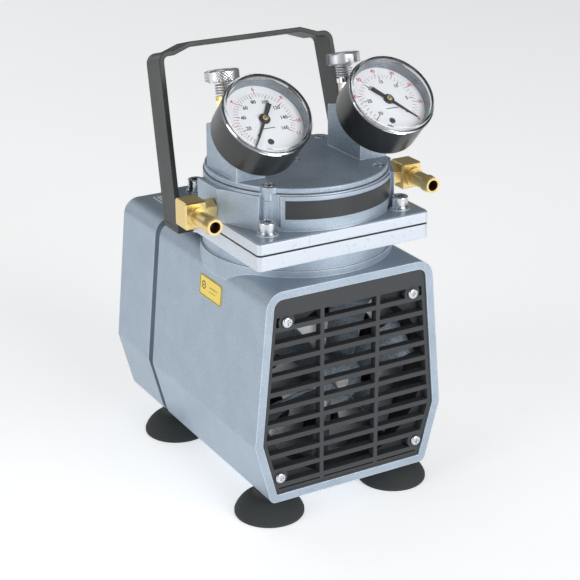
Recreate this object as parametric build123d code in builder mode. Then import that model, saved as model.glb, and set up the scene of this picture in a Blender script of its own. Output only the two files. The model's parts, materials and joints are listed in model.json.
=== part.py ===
from build123d import *
import os
from math import atan2, cos, radians, sin, sqrt

os.makedirs("parts", exist_ok=True)

# A twin-gauge diaphragm vacuum and pressure pump, in millimetres.
# +X is to the right of someone facing the grille, +Y runs from the grille to the rear cover,
# +Z is up. The origin is on the floor, in the middle of the pump's outline.

# ---------------------------------------------------------------- driving dimensions
FOOT_H = 17.5            # underside of the housing above the floor
FRONT_Y = -106.0         # front rim of the housing

# Housing section, seen from the front
TOP_HALF_W = 56.0
WAIST_HALF_W = 65.0
BASE_HALF_W = 54.6
HOUSING_H = 135.0
WAIST_H = 39.5
TOP_CORNER_R = 11.0
WAIST_CORNER_R = 6.0
BASE_CORNER_R = 4.0
WALL = 5.0

# Housing lengths, front to back
FRONT_LEN = 139.5
GASKET_T = 2.5
LIP_LEN = 4.0
REAR_LEN = 51.0
REAR_WALL = 3.5
LIP_INSET = 3.75
WEB_END = 55.8           # the webs of the screw bosses end here, inside the side walls
WEB_T = 3.0

# Pump head
HEAD_Y = FRONT_Y + 64.7
NECK_R = 57.0
PLATE_SIDE = 115.7
PLATE_CORNER_R = 3.0
PLATE_LOW_H = 146.3      # underside of the lower clamping plate above the housing base
DIAPHRAGM_LOW_H = 154.9
DIAPHRAGM_T = 1.2
PLATE_TOP_H = 163.0
HEAD_R = 56.0
HEAD_TOP_H = 184.5
CAP_R = 55.0
CAP_TOP_H = 188.1
HEAD_BOLT_PITCH = 90.0
PUMP_BORE_R = 44.0

# Motor and crank
SHAFT_H = 63.5           # shaft above the housing base
SHAFT_R = 5.0
RUNNING_GAP = 0.03       # radial clearance of every running fit
THROW = 3.5
BEARING_R = 13.0
BEARING_W = 8.0
ROD_R = 19.0             # big-end seat
ROD_W = 11.4

# Gauges and relief valves, mirrored left and right
TOWER_X = 41.4
GAUGE_TILT = 48.0        # the dial faces this far above level
TOWER_TILT = 42.0        # slope of the tower faces behind the gauges
GAUGE_R = 26.3
GAUGE_DEPTH = 17.7       # back of the case behind the pointer
VALVE_TILT = 13.0        # the valves lean this far backwards
KNOB_R = 10.0
KNOB_H = 7.5

# Hose barbs
ELBOW_X = 74.4
ELBOW_Y = FRONT_Y + 57.5
PORT_H = 169.9
BARB_R = 4.75
BARB_BORE_R = 3.4
BARB_TIP_Y = FRONT_Y + 27.3

# Handle strap
HANDLE_HALF_W = 65.0
HANDLE_TOP_HALF_W = 60.5
HANDLE_W = 19.0
HANDLE_T = 3.0
HANDLE_LEAN = 16.0
HANDLE_LEG = 107.0

# Feet
FOOT_X = 44.6
FRONT_FOOT_Y = FRONT_Y + 20.8
REAR_FOOT_Y = FRONT_Y + 148.0
FOOT_R = 21.5

# ---------------------------------------------------------------- derived places
BASE_Z = FOOT_H
SHAFT_Z = BASE_Z + SHAFT_H
PLATE_LOW_Z = BASE_Z + PLATE_LOW_H
DIAPHRAGM_Z = BASE_Z + DIAPHRAGM_LOW_H
HEAD_LOW_Z = DIAPHRAGM_Z + DIAPHRAGM_T
PLATE_TOP_Z = BASE_Z + PLATE_TOP_H
HEAD_TOP_Z = BASE_Z + HEAD_TOP_H
CAP_TOP_Z = BASE_Z + CAP_TOP_H
PORT_Z = BASE_Z + PORT_H
SEAM_Y = FRONT_Y + FRONT_LEN
LIP_Y = SEAM_Y + GASKET_T
REAR_Y = LIP_Y + LIP_LEN
BACK_Y = REAR_Y + REAR_LEN
BOLT = HEAD_BOLT_PITCH / 2
BOLT_R = 3.0
BOLT_DEPTH = 7.0         # front bolts end this far into the lower plate
BOLTS = [(x, HEAD_Y + y) for y in (-BOLT, BOLT) for x in (-BOLT, BOLT)]


# ---------------------------------------------------------------- shared helpers
def front_plane(y):
    """A plane facing forwards at depth y, whose sketch x is X and sketch y is Z."""
    return Plane.XZ.offset(-y)


def level(z):
    """A horizontal plane at height z."""
    return Plane.XY.offset(z)


def housing_outline(inset=0.0):
    """The six-sided housing section with rounded corners, shrunk by inset."""
    with BuildSketch() as outline:
        with BuildLine():
            Polyline(
                (-BASE_HALF_W, BASE_Z),
                (BASE_HALF_W, BASE_Z),
                (WAIST_HALF_W, BASE_Z + WAIST_H),
                (TOP_HALF_W, BASE_Z + HOUSING_H),
                (-TOP_HALF_W, BASE_Z + HOUSING_H),
                (-WAIST_HALF_W, BASE_Z + WAIST_H),
                close=True,
            )
        make_face()
        fillet(outline.vertices().group_by(Axis.Y)[-1], TOP_CORNER_R)
        fillet(outline.vertices().sort_by(Axis.X)[:1], WAIST_CORNER_R)
        fillet(outline.vertices().sort_by(Axis.X)[-1:], WAIST_CORNER_R)
        fillet(outline.vertices().group_by(Axis.Y)[0], BASE_CORNER_R)
        if inset:
            offset(amount=-inset)
    return outline.sketch


def ring_along_y(inner_r, outer_r, y, length, x=0.0, z=SHAFT_Z):
    """A plain ring whose axis is parallel to the shaft."""
    with BuildPart() as ring:
        with BuildSketch(front_plane(y)):
            with Locations((x, z)):
                Circle(outer_r)
                Circle(inner_r, mode=Mode.SUBTRACT)
        extrude(amount=-length)
    return ring.part


def finish(piece, label):
    """Name a finished piece and write it."""
    piece.label = label
    export_step(piece, f"parts/{label}.step")


# ---------------------------------------------------------------- housing
GRILLE_SCREWS = [
    (-43.2, BASE_Z + 115.2),
    (43.2, BASE_Z + 115.2),
    (-48.2, BASE_Z + 15.8),
    (48.2, BASE_Z + 15.8),
]
COVER_SCREWS = [
    (-42.0, BASE_Z + 119.0),
    (42.0, BASE_Z + 119.0),
    (-46.0, BASE_Z + 12.5),
    (46.0, BASE_Z + 12.5),
]


def side_webs(screws):
    """Centre and width of the web that joins each screw boss to its side wall."""
    rows = []
    for x, z in screws:
        side = 1 if x > 0 else -1
        rows.append((side * (WEB_END + abs(x)) / 2, z, WEB_END - abs(x)))
    return rows


GRILLE_Y = FRONT_Y + 1.2
GRILLE_T = 5.0
SHROUD_Y = GRILLE_Y + GRILLE_T + 0.2
SHROUD_T = 1.8
BOSS_Y = SHROUD_Y + SHROUD_T
BOSS_LEN = 24.0
BOSS_R = 4.5
SCREW_HOLE_R = 1.7
FOOT_BOSS_R = 7.0
FOOT_BOSS_H = 9.0
FOOT_HOLE_R = 2.1
FRONT_FEET = [(-FOOT_X, FRONT_FOOT_Y), (FOOT_X, FRONT_FOOT_Y)]
REAR_FEET = [(-FOOT_X, REAR_FOOT_Y), (FOOT_X, REAR_FOOT_Y)]
NECK_FOOT_R = 58.5
NECK_FOOT_H = 4.0

with BuildPart() as front_housing:
    with BuildSketch(front_plane(FRONT_Y)):
        add(housing_outline())
    extrude(amount=-FRONT_LEN)
    with BuildSketch(level(BASE_Z + HOUSING_H - 15)):
        with Locations((0, HEAD_Y)):
            Circle(NECK_R)
    extrude(amount=PLATE_LOW_H - HOUSING_H + 15.5)
    with BuildSketch(level(BASE_Z + HOUSING_H - 8)):
        with Locations((0, HEAD_Y)):
            Circle(NECK_FOOT_R)
    extrude(amount=8 + NECK_FOOT_H)
    with BuildSketch(level(PLATE_LOW_Z)):
        with Locations((0, HEAD_Y)):
            RectangleRounded(PLATE_SIDE, PLATE_SIDE, PLATE_CORNER_R)
    extrude(amount=DIAPHRAGM_LOW_H - PLATE_LOW_H)
    # hollow body, open at the grille and at the seam
    with BuildSketch(front_plane(FRONT_Y)):
        add(housing_outline(WALL))
    extrude(amount=-FRONT_LEN, mode=Mode.SUBTRACT)
    # crank opening up through the neck
    with BuildSketch(level(BASE_Z + HOUSING_H - WALL - 2)):
        with Locations((0, HEAD_Y)):
            Circle(PUMP_BORE_R)
    extrude(amount=DIAPHRAGM_LOW_H - HOUSING_H + WALL + 4, mode=Mode.SUBTRACT)
    # bosses for the grille screws, each on a web from the side wall
    with BuildSketch(front_plane(BOSS_Y)):
        with Locations(*GRILLE_SCREWS):
            Circle(BOSS_R)
        for x, z, width in side_webs(GRILLE_SCREWS):
            with Locations((x, z)):
                Rectangle(width, WEB_T)
    extrude(amount=-BOSS_LEN)
    # bosses for the long screws of the rear cover
    with BuildSketch(front_plane(SEAM_Y - BOSS_LEN)):
        with Locations(*COVER_SCREWS):
            Circle(BOSS_R)
        for x, z, width in side_webs(COVER_SCREWS):
            with Locations((x, z)):
                Rectangle(width, WEB_T)
    extrude(amount=-BOSS_LEN)
    with BuildSketch(front_plane(BOSS_Y)):
        with Locations(*GRILLE_SCREWS):
            Circle(SCREW_HOLE_R)
    extrude(amount=-BOSS_LEN + 4, mode=Mode.SUBTRACT)
    with BuildSketch(front_plane(SEAM_Y)):
        with Locations(*COVER_SCREWS):
            Circle(SCREW_HOLE_R)
    extrude(amount=BOSS_LEN - 4, mode=Mode.SUBTRACT)
    # bosses for the front feet
    with BuildSketch(level(BASE_Z + 1)):
        with Locations(*FRONT_FEET):
            Circle(FOOT_BOSS_R)
    extrude(amount=FOOT_BOSS_H)
    with BuildSketch(level(BASE_Z)):
        with Locations(*FRONT_FEET):
            Circle(FOOT_HOLE_R)
    extrude(amount=FOOT_BOSS_H - 1, mode=Mode.SUBTRACT)
    # holes for the four head bolts, right through at the rear pair
    with BuildSketch(level(DIAPHRAGM_Z)):
        with Locations(*BOLTS):
            Circle(BOLT_R + 0.1)
    extrude(amount=-BOLT_DEPTH, mode=Mode.SUBTRACT)
    with BuildSketch(level(DIAPHRAGM_Z)):
        with Locations(*BOLTS[2:]):
            Circle(BOLT_R + 0.1)
    extrude(amount=-(DIAPHRAGM_LOW_H - PLATE_LOW_H), mode=Mode.SUBTRACT)
finish(front_housing.part, "front_housing")

VENT_COUNT = 9
VENT_PITCH = 9.0
VENT_LEN = 40.0
VENT_W = 4.0
VENT_Z = BASE_Z + 84.0
SWITCH_X = -28.0
GLAND_X = 28.0
INLET_Z = BASE_Z + 30.0
SWITCH_HOLE_R = 6.1
GLAND_HOLE_R = 8.1

with BuildPart() as rear_cover:
    with BuildSketch(front_plane(REAR_Y)):
        add(housing_outline())
    extrude(amount=-REAR_LEN)
    back_edges = rear_cover.faces().sort_by(Axis.Y)[-1].edges()
    fillet(back_edges, 4)
    with BuildSketch(front_plane(LIP_Y)):
        add(housing_outline(LIP_INSET))
    extrude(amount=-LIP_LEN)
    with BuildSketch(front_plane(LIP_Y)):
        add(housing_outline(LIP_INSET + 2.75))
    extrude(amount=-LIP_LEN - REAR_WALL, mode=Mode.SUBTRACT)
    with BuildSketch(front_plane(REAR_Y + REAR_WALL)):
        add(housing_outline(REAR_WALL))
    extrude(amount=-(REAR_LEN - 2 * REAR_WALL), mode=Mode.SUBTRACT)
    # tubes that the long cover screws pass through
    with BuildSketch(front_plane(LIP_Y)):
        with Locations(*COVER_SCREWS):
            Circle(BOSS_R)
    extrude(amount=-(LIP_LEN + REAR_LEN - REAR_WALL))
    with BuildSketch(front_plane(REAR_Y)):
        for x, z, width in side_webs(COVER_SCREWS):
            with Locations((x, z)):
                Rectangle(width, WEB_T)
    extrude(amount=-(REAR_LEN - REAR_WALL))
    with BuildSketch(front_plane(LIP_Y)):
        with Locations(*COVER_SCREWS):
            Circle(SCREW_HOLE_R)
    extrude(amount=-(LIP_LEN + REAR_LEN), mode=Mode.SUBTRACT)
    # bosses for the rear feet
    with BuildSketch(level(BASE_Z + 1)):
        with Locations(*REAR_FEET):
            Circle(FOOT_BOSS_R - 2)
    extrude(amount=FOOT_BOSS_H)
    with BuildSketch(level(BASE_Z)):
        with Locations(*REAR_FEET):
            Circle(FOOT_HOLE_R)
    extrude(amount=FOOT_BOSS_H - 1, mode=Mode.SUBTRACT)
    # air outlet slots, switch hole and cable hole through the back wall
    with BuildSketch(front_plane(BACK_Y)):
        with Locations((0, VENT_Z)):
            with GridLocations(VENT_PITCH, 1, VENT_COUNT, 1):
                SlotOverall(VENT_LEN, VENT_W, rotation=90)
        with Locations((SWITCH_X, INLET_Z)):
            Circle(SWITCH_HOLE_R)
        with Locations((GLAND_X, INLET_Z)):
            Circle(GLAND_HOLE_R)
    extrude(amount=REAR_WALL + 1, mode=Mode.SUBTRACT)
finish(rear_cover.part, "rear_cover")

with BuildPart() as seam_gasket:
    with BuildSketch(front_plane(SEAM_Y)):
        add(housing_outline(1.2))
        add(housing_outline(WALL), mode=Mode.SUBTRACT)
    extrude(amount=-GASKET_T)
finish(seam_gasket.part, "seam_gasket")

# ---------------------------------------------------------------- grille, shroud and fan
SLAT_COUNT = 10
SLAT_PITCH = 10.1
SLAT_LOW_H = 20.2
SLAT_T = 3.0
RIB_X = 19.2
RIB_W = 2.6
FRAME_W = 2.4
BAND_LOW_H = 118.6
slat_heights = [BASE_Z + SLAT_LOW_H + i * SLAT_PITCH for i in range(SLAT_COUNT)]

with BuildPart() as fan_grille:
    with BuildSketch(front_plane(GRILLE_Y)):
        add(housing_outline(WALL + 0.4))
    extrude(amount=-GRILLE_T)
    with BuildSketch(front_plane(GRILLE_Y)):
        add(housing_outline(WALL + 0.4 + FRAME_W))
        with Locations((0, BASE_Z + BAND_LOW_H + 10)):
            Rectangle(140, 20, mode=Mode.SUBTRACT)
        with Locations((0, BASE_Z + 10.2)):
            Rectangle(140, SLAT_T, mode=Mode.SUBTRACT)
        for height in slat_heights:
            with Locations((0, height)):
                Rectangle(140, SLAT_T, mode=Mode.SUBTRACT)
        with Locations((-RIB_X, BASE_Z + 60), (RIB_X, BASE_Z + 60)):
            Rectangle(RIB_W, 130, mode=Mode.SUBTRACT)
        with Locations(*GRILLE_SCREWS):
            Circle(5.2, mode=Mode.SUBTRACT)
    extrude(amount=-GRILLE_T, mode=Mode.SUBTRACT)
    with BuildSketch(front_plane(GRILLE_Y)):
        with Locations(*GRILLE_SCREWS):
            Circle(SCREW_HOLE_R)
    extrude(amount=-GRILLE_T, mode=Mode.SUBTRACT)
finish(fan_grille.part, "fan_grille")

SHROUD_HOLE_R = 56.0
SHROUD_RING_T = 1.2
SHROUD_DEPTH = 20.0

with BuildPart() as fan_shroud:
    with BuildSketch(front_plane(SHROUD_Y)):
        add(housing_outline(WALL + 0.1))
        with Locations((0, SHAFT_Z)):
            Circle(SHROUD_HOLE_R, mode=Mode.SUBTRACT)
        with Locations(*GRILLE_SCREWS):
            Circle(SCREW_HOLE_R, mode=Mode.SUBTRACT)
    extrude(amount=-SHROUD_T)
    with BuildSketch(front_plane(SHROUD_Y)):
        with Locations((0, SHAFT_Z)):
            Circle(SHROUD_HOLE_R + SHROUD_RING_T)
            Circle(SHROUD_HOLE_R, mode=Mode.SUBTRACT)
    extrude(amount=-SHROUD_DEPTH)
finish(fan_shroud.part, "fan_shroud")

FAN_Y = FRONT_Y + 12.0
FAN_W = 14.0
FAN_HUB_R = 15.0
FAN_TIP_R = 53.5
BLADE_COUNT = 6
BLADE_PITCH = 32.0
BLADE_W = 24.0
BLADE_T = 1.6

with BuildPart() as cooling_fan:
    for i in range(BLADE_COUNT):
        turn = i * 360 / BLADE_COUNT + 12
        blade_plane = Plane(
            origin=(0, FAN_Y + FAN_W / 2, SHAFT_Z),
            x_dir=(0, 1, 0),
            z_dir=(sin(radians(turn)), 0, cos(radians(turn))),
        )
        with BuildSketch(blade_plane.offset(FAN_HUB_R - 4)):
            Rectangle(BLADE_W * 0.7, BLADE_T, rotation=BLADE_PITCH)
        with BuildSketch(blade_plane.offset(FAN_TIP_R)):
            Rectangle(BLADE_W, BLADE_T, rotation=BLADE_PITCH + 28)
        loft()
    with BuildSketch(front_plane(FAN_Y)):
        with Locations((0, SHAFT_Z)):
            Circle(FAN_HUB_R)
    extrude(amount=-FAN_W)
    with BuildSketch(front_plane(FAN_Y)):
        with Locations((0, SHAFT_Z)):
            Circle(SHAFT_R)
    extrude(amount=-FAN_W, mode=Mode.SUBTRACT)
finish(cooling_fan.part, "cooling_fan")


GRILLE_HEAD_R = 3.4
GRILLE_HEAD_H = 2.0
GRILLE_SCREW_LEN = 24.0

with BuildPart() as grille_screws:
    with BuildSketch(front_plane(GRILLE_Y)):
        with Locations(*GRILLE_SCREWS):
            Circle(SCREW_HOLE_R - 0.1)
    extrude(amount=-GRILLE_SCREW_LEN)
    with BuildSketch(front_plane(GRILLE_Y)):
        with Locations(*GRILLE_SCREWS):
            Circle(GRILLE_HEAD_R)
    extrude(amount=GRILLE_HEAD_H)
    domes = grille_screws.faces().group_by(Axis.Y)[0].edges()
    fillet(domes, 1.2)
    with BuildSketch(front_plane(GRILLE_Y - GRILLE_HEAD_H)):
        for x, z in GRILLE_SCREWS:
            with Locations((x, z)):
                Rectangle(3.6, 0.8)
                Rectangle(0.8, 3.6)
    extrude(amount=-1.1, mode=Mode.SUBTRACT)
finish(grille_screws.part, "grille_screws")

with BuildPart() as cover_screws:
    with BuildSketch(front_plane(BACK_Y)):
        with Locations(*COVER_SCREWS):
            Circle(SCREW_HOLE_R - 0.1)
    extrude(amount=REAR_LEN + LIP_LEN + GASKET_T + 15)
    with BuildSketch(front_plane(BACK_Y)):
        with Locations(*COVER_SCREWS):
            Circle(3.4)
    extrude(amount=-2.2)
    fillet(cover_screws.faces().group_by(Axis.Y)[-1].edges(), 1.0)
    with BuildSketch(front_plane(BACK_Y + 2.2)):
        for x, z in COVER_SCREWS:
            with Locations((x, z)):
                Rectangle(3.8, 0.9)
                Rectangle(0.9, 3.8)
    extrude(amount=1.2, mode=Mode.SUBTRACT)
finish(cover_screws.part, "cover_screws")

# ---------------------------------------------------------------- motor
WALL_Y = FRONT_Y + 34.0
WALL_T = 5.0
BRACKET_Y = FRONT_Y + 168.0
BRACKET_T = 5.0
HUB_R = 17.0
FRONT_BEARING_Y = WALL_Y + 2.0
REAR_BEARING_Y = BRACKET_Y + 1.0
STATOR_Y = FRONT_Y + 100.0
STATOR_LEN = 50.0
STATOR_SIDE = 84.0
TIE_PITCH = 72.0
TIE_R = 2.4
ROTOR_R = 24.0
AIR_GAP = 0.6

with BuildPart() as crankcase_wall:
    with BuildSketch(front_plane(WALL_Y)):
        add(housing_outline(WALL + 0.05))
        with Locations((0, SHAFT_Z)):
            with PolarLocations(37, 6, start_angle=30):
                SlotOverall(26, 12, rotation=90, mode=Mode.SUBTRACT)
    extrude(amount=-WALL_T)
    with BuildSketch(front_plane(WALL_Y)):
        with Locations((0, SHAFT_Z)):
            Circle(HUB_R)
    extrude(amount=-(BEARING_W + 3))
    with BuildSketch(front_plane(WALL_Y)):
        with Locations((0, SHAFT_Z)):
            Circle(SHAFT_R + 3)
            with GridLocations(TIE_PITCH, TIE_PITCH, 2, 2):
                Circle(TIE_R + 0.1)
    extrude(amount=-(BEARING_W + 3), mode=Mode.SUBTRACT)
    with BuildSketch(front_plane(FRONT_BEARING_Y)):
        with Locations((0, SHAFT_Z)):
            Circle(BEARING_R)
    extrude(amount=-(BEARING_W + 2), mode=Mode.SUBTRACT)
finish(crankcase_wall.part, "crankcase_wall")


def shaft_bearing(y):
    """A deep-groove ball bearing with recessed shields, its bore clear of the shaft."""
    with BuildPart() as bearing:
        add(ring_along_y(SHAFT_R + RUNNING_GAP, BEARING_R, y, BEARING_W))
        for shield_y in (y, y + BEARING_W - 0.5):
            add(ring_along_y(SHAFT_R + 2.2, BEARING_R - 2.2, shield_y, 0.5), mode=Mode.SUBTRACT)
    return bearing.part


finish(shaft_bearing(FRONT_BEARING_Y), "front_bearing")
finish(shaft_bearing(REAR_BEARING_Y), "rear_bearing")

with BuildPart() as rear_bracket:
    with BuildSketch(front_plane(BRACKET_Y)):
        with Locations((0, SHAFT_Z)):
            Circle(HUB_R)
            for spread in (45, 135):
                SlotOverall(TIE_PITCH * sqrt(2) + 14, 14, rotation=spread)
    extrude(amount=-BRACKET_T)
    with BuildSketch(front_plane(BRACKET_Y)):
        with Locations((0, SHAFT_Z)):
            Circle(HUB_R)
    extrude(amount=-(BEARING_W + 3))
    with BuildSketch(front_plane(BRACKET_Y)):
        with Locations((0, SHAFT_Z)):
            Circle(SHAFT_R + 3)
            with GridLocations(TIE_PITCH, TIE_PITCH, 2, 2):
                Circle(TIE_R + 0.1)
    extrude(amount=-(BEARING_W + 3), mode=Mode.SUBTRACT)
    with BuildSketch(front_plane(REAR_BEARING_Y)):
        with Locations((0, SHAFT_Z)):
            Circle(BEARING_R)
    extrude(amount=-BEARING_W, mode=Mode.SUBTRACT)
finish(rear_bracket.part, "rear_bracket")

with BuildPart() as tie_screws:
    with BuildSketch(front_plane(WALL_Y)):
        with Locations((0, SHAFT_Z)):
            with GridLocations(TIE_PITCH, TIE_PITCH, 2, 2):
                Circle(TIE_R)
    extrude(amount=-(BRACKET_Y + BRACKET_T + 6 - WALL_Y))
    with BuildSketch(front_plane(WALL_Y)):
        with Locations((0, SHAFT_Z)):
            with GridLocations(TIE_PITCH, TIE_PITCH, 2, 2):
                Circle(4.2)
    extrude(amount=3)
    with BuildSketch(front_plane(BRACKET_Y + BRACKET_T)):
        with Locations((0, SHAFT_Z)):
            with GridLocations(TIE_PITCH, TIE_PITCH, 2, 2):
                RegularPolygon(4.4, 6)
    extrude(amount=-3.5)
finish(tie_screws.part, "tie_screws")

with BuildPart() as stator_core:
    with BuildSketch(front_plane(STATOR_Y)):
        with Locations((0, SHAFT_Z)):
            RectangleRounded(STATOR_SIDE, STATOR_SIDE, 8)
            Circle(ROTOR_R + AIR_GAP, mode=Mode.SUBTRACT)
            with PolarLocations(33, 8):
                Rectangle(10, 6, mode=Mode.SUBTRACT)
            with GridLocations(TIE_PITCH, TIE_PITCH, 2, 2):
                Circle(TIE_R + 0.1, mode=Mode.SUBTRACT)
    extrude(amount=-STATOR_LEN)
finish(stator_core.part, "stator_core")

WINDING_W = 8.0

with BuildPart() as stator_windings:
    for y in (STATOR_Y - WINDING_W - 0.1, STATOR_Y + STATOR_LEN + 0.1):
        with BuildSketch(front_plane(y)):
            with Locations((0, SHAFT_Z)):
                Circle(40)
                Circle(28, mode=Mode.SUBTRACT)
        extrude(amount=-WINDING_W)
    rims = stator_windings.edges().filter_by(GeomType.CIRCLE).group_by(Axis.Y)
    fillet(rims[0] + rims[-1], 2.5)
finish(stator_windings.part, "stator_windings")

with BuildPart() as rotor:
    add(ring_along_y(SHAFT_R, ROTOR_R, STATOR_Y - 1, STATOR_LEN + 2))
    fillet(rotor.edges().filter_by(GeomType.CIRCLE).sort_by(SortBy.RADIUS)[-2:], 1.5)
finish(rotor.part, "rotor")

SHAFT_FRONT_Y = FRONT_Y + 9.5
SHAFT_LEN = 171.0

with BuildPart() as motor_shaft:
    with BuildSketch(front_plane(SHAFT_FRONT_Y)):
        with Locations((0, SHAFT_Z)):
            Circle(SHAFT_R)
    extrude(amount=-SHAFT_LEN)
    chamfer(motor_shaft.edges().filter_by(GeomType.CIRCLE), 0.8)
finish(motor_shaft.part, "motor_shaft")

# ---------------------------------------------------------------- crank and connecting rod
# The crank is modelled at the top of its stroke.
CRANK_R = 13.0
CRANK_Y = HEAD_Y - 8.0
CRANK_W = 16.0
WEIGHT_T = 8.0
WEIGHT_R = 27.0
PIN_Z = SHAFT_Z + THROW
ROD_Y = HEAD_Y - ROD_W / 2

with BuildPart() as eccentric:
    with BuildSketch(front_plane(CRANK_Y)):
        with Locations((0, PIN_Z)):
            Circle(CRANK_R)
    extrude(amount=-CRANK_W)
    with BuildSketch(front_plane(CRANK_Y - WEIGHT_T)):
        with Locations((0, SHAFT_Z)):
            Circle(WEIGHT_R)
        with Locations((0, SHAFT_Z + WEIGHT_R)):
            Rectangle(3 * WEIGHT_R, 2 * WEIGHT_R, mode=Mode.SUBTRACT)
        with Locations((0, SHAFT_Z)):
            Circle(10)
    extrude(amount=-WEIGHT_T)
    with BuildSketch(front_plane(CRANK_Y - WEIGHT_T)):
        with Locations((0, SHAFT_Z)):
            Circle(SHAFT_R)
    extrude(amount=-(CRANK_W + WEIGHT_T), mode=Mode.SUBTRACT)
finish(eccentric.part, "eccentric")

with BuildPart() as rod_bearing:
    add(ring_along_y(CRANK_R + RUNNING_GAP, ROD_R, ROD_Y, ROD_W, z=PIN_Z))
    for shield_y in (ROD_Y, ROD_Y + ROD_W - 0.5):
        add(
            ring_along_y(CRANK_R + 1.8, ROD_R - 1.8, shield_y, 0.5, z=PIN_Z),
            mode=Mode.SUBTRACT,
        )
finish(rod_bearing.part, "rod_bearing")

SUPPORT_T = 3.4
SUPPORT_R = 28.0
SUPPORT_Z = DIAPHRAGM_Z - SUPPORT_T
ROD_FLANGE_T = 4.0
ROD_FLANGE_R = 14.0
CLAMP_SCREW_R = 3.0

with BuildPart() as connecting_rod:
    with BuildSketch(front_plane(ROD_Y)):
        with BuildLine():
            Polyline(
                (-11, PIN_Z + 10),
                (11, PIN_Z + 10),
                (7, SUPPORT_Z - ROD_FLANGE_T),
                (-7, SUPPORT_Z - ROD_FLANGE_T),
                close=True,
            )
        make_face()
        with Locations((0, PIN_Z)):
            Circle(ROD_R + 5)
            Circle(ROD_R, mode=Mode.SUBTRACT)
    extrude(amount=-ROD_W)
    with BuildSketch(level(SUPPORT_Z - ROD_FLANGE_T)):
        with Locations((0, HEAD_Y)):
            Circle(ROD_FLANGE_R)
    extrude(amount=ROD_FLANGE_T)
    with BuildSketch(level(SUPPORT_Z)):
        with Locations((0, HEAD_Y)):
            Circle(CLAMP_SCREW_R)
    extrude(amount=-14, mode=Mode.SUBTRACT)
    for side in (ROD_Y, ROD_Y + ROD_W - 2.5):
        with BuildSketch(front_plane(side)):
            with Locations((0, PIN_Z + 40)):
                SlotOverall(22, 8, rotation=90)
        extrude(amount=-2.5, mode=Mode.SUBTRACT)
finish(connecting_rod.part, "connecting_rod")

with BuildPart() as support_plate:
    with BuildSketch(level(SUPPORT_Z)):
        with Locations((0, HEAD_Y)):
            Circle(SUPPORT_R)
            Circle(CLAMP_SCREW_R, mode=Mode.SUBTRACT)
    extrude(amount=SUPPORT_T)
    top_rim = support_plate.edges().group_by(Axis.Z)[-1].sort_by(SortBy.RADIUS)[-1]
    fillet(top_rim, 2)
finish(support_plate.part, "support_plate")

with BuildPart() as diaphragm:
    with BuildSketch(level(DIAPHRAGM_Z)):
        with Locations((0, HEAD_Y)):
            RectangleRounded(PLATE_SIDE - 0.8, PLATE_SIDE - 0.8, PLATE_CORNER_R)
            Circle(CLAMP_SCREW_R, mode=Mode.SUBTRACT)
            with GridLocations(HEAD_BOLT_PITCH, HEAD_BOLT_PITCH, 2, 2):
                Circle(3.1, mode=Mode.SUBTRACT)
    extrude(amount=DIAPHRAGM_T)
finish(diaphragm.part, "diaphragm")

CLAMP_T = 3.1
CLAMP_R = 26.0

with BuildPart() as clamp_disc:
    with BuildSketch(level(HEAD_LOW_Z)):
        with Locations((0, HEAD_Y)):
            Circle(CLAMP_R)
    extrude(amount=CLAMP_T)
    with Locations((0, HEAD_Y, HEAD_LOW_Z + CLAMP_T)):
        CounterSinkHole(radius=CLAMP_SCREW_R, counter_sink_radius=6)
    low_rim = clamp_disc.edges().group_by(Axis.Z)[0].sort_by(SortBy.RADIUS)[-1]
    fillet(low_rim, 1.5)
finish(clamp_disc.part, "clamp_disc")

with BuildPart() as clamp_screw:
    with BuildSketch(level(HEAD_LOW_Z + CLAMP_T)):
        with Locations((0, HEAD_Y)):
            Circle(5.9)
    extrude(amount=-3, taper=45)
    with BuildSketch(level(HEAD_LOW_Z + CLAMP_T)):
        with Locations((0, HEAD_Y)):
            Circle(CLAMP_SCREW_R - 0.05)
    extrude(amount=-18)
    with BuildSketch(level(HEAD_LOW_Z + CLAMP_T)):
        with Locations((0, HEAD_Y)):
            RegularPolygon(2.3, 6)
    extrude(amount=-2, mode=Mode.SUBTRACT)
finish(clamp_screw.part, "clamp_screw")

# ---------------------------------------------------------------- cylinder head
CHAMBER_R = 40.0
CHAMBER_TOP_Z = BASE_Z + 162.0
PORT_PLATE_TOP_Z = BASE_Z + 167.0
PORT_FACE_X = 60.0
BASE_STEP_R = 57.2
PILLAR_R = 6.5
PILLAR_X = 37.0
PILLAR_Y = 34.0
PILLARS = [(-PILLAR_X, HEAD_Y - PILLAR_Y), (PILLAR_X, HEAD_Y + PILLAR_Y)]
BAND_R = 57.6
STRIP_X = 3.2            # middle of the name strip, seen from the front
STRIP_W = 74.6
VALVE_X = 16.0
PIN_HOLE_R = 1.5
CAP_SCREW_R = 2.0
CAP_SCREWS = [
    (-PILLAR_X, HEAD_Y - 33),
    (PILLAR_X, HEAD_Y - 33),
    (-PILLAR_X, HEAD_Y + 34),
    (PILLAR_X, HEAD_Y + 34),
    (0, HEAD_Y + 1.5),
]

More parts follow.
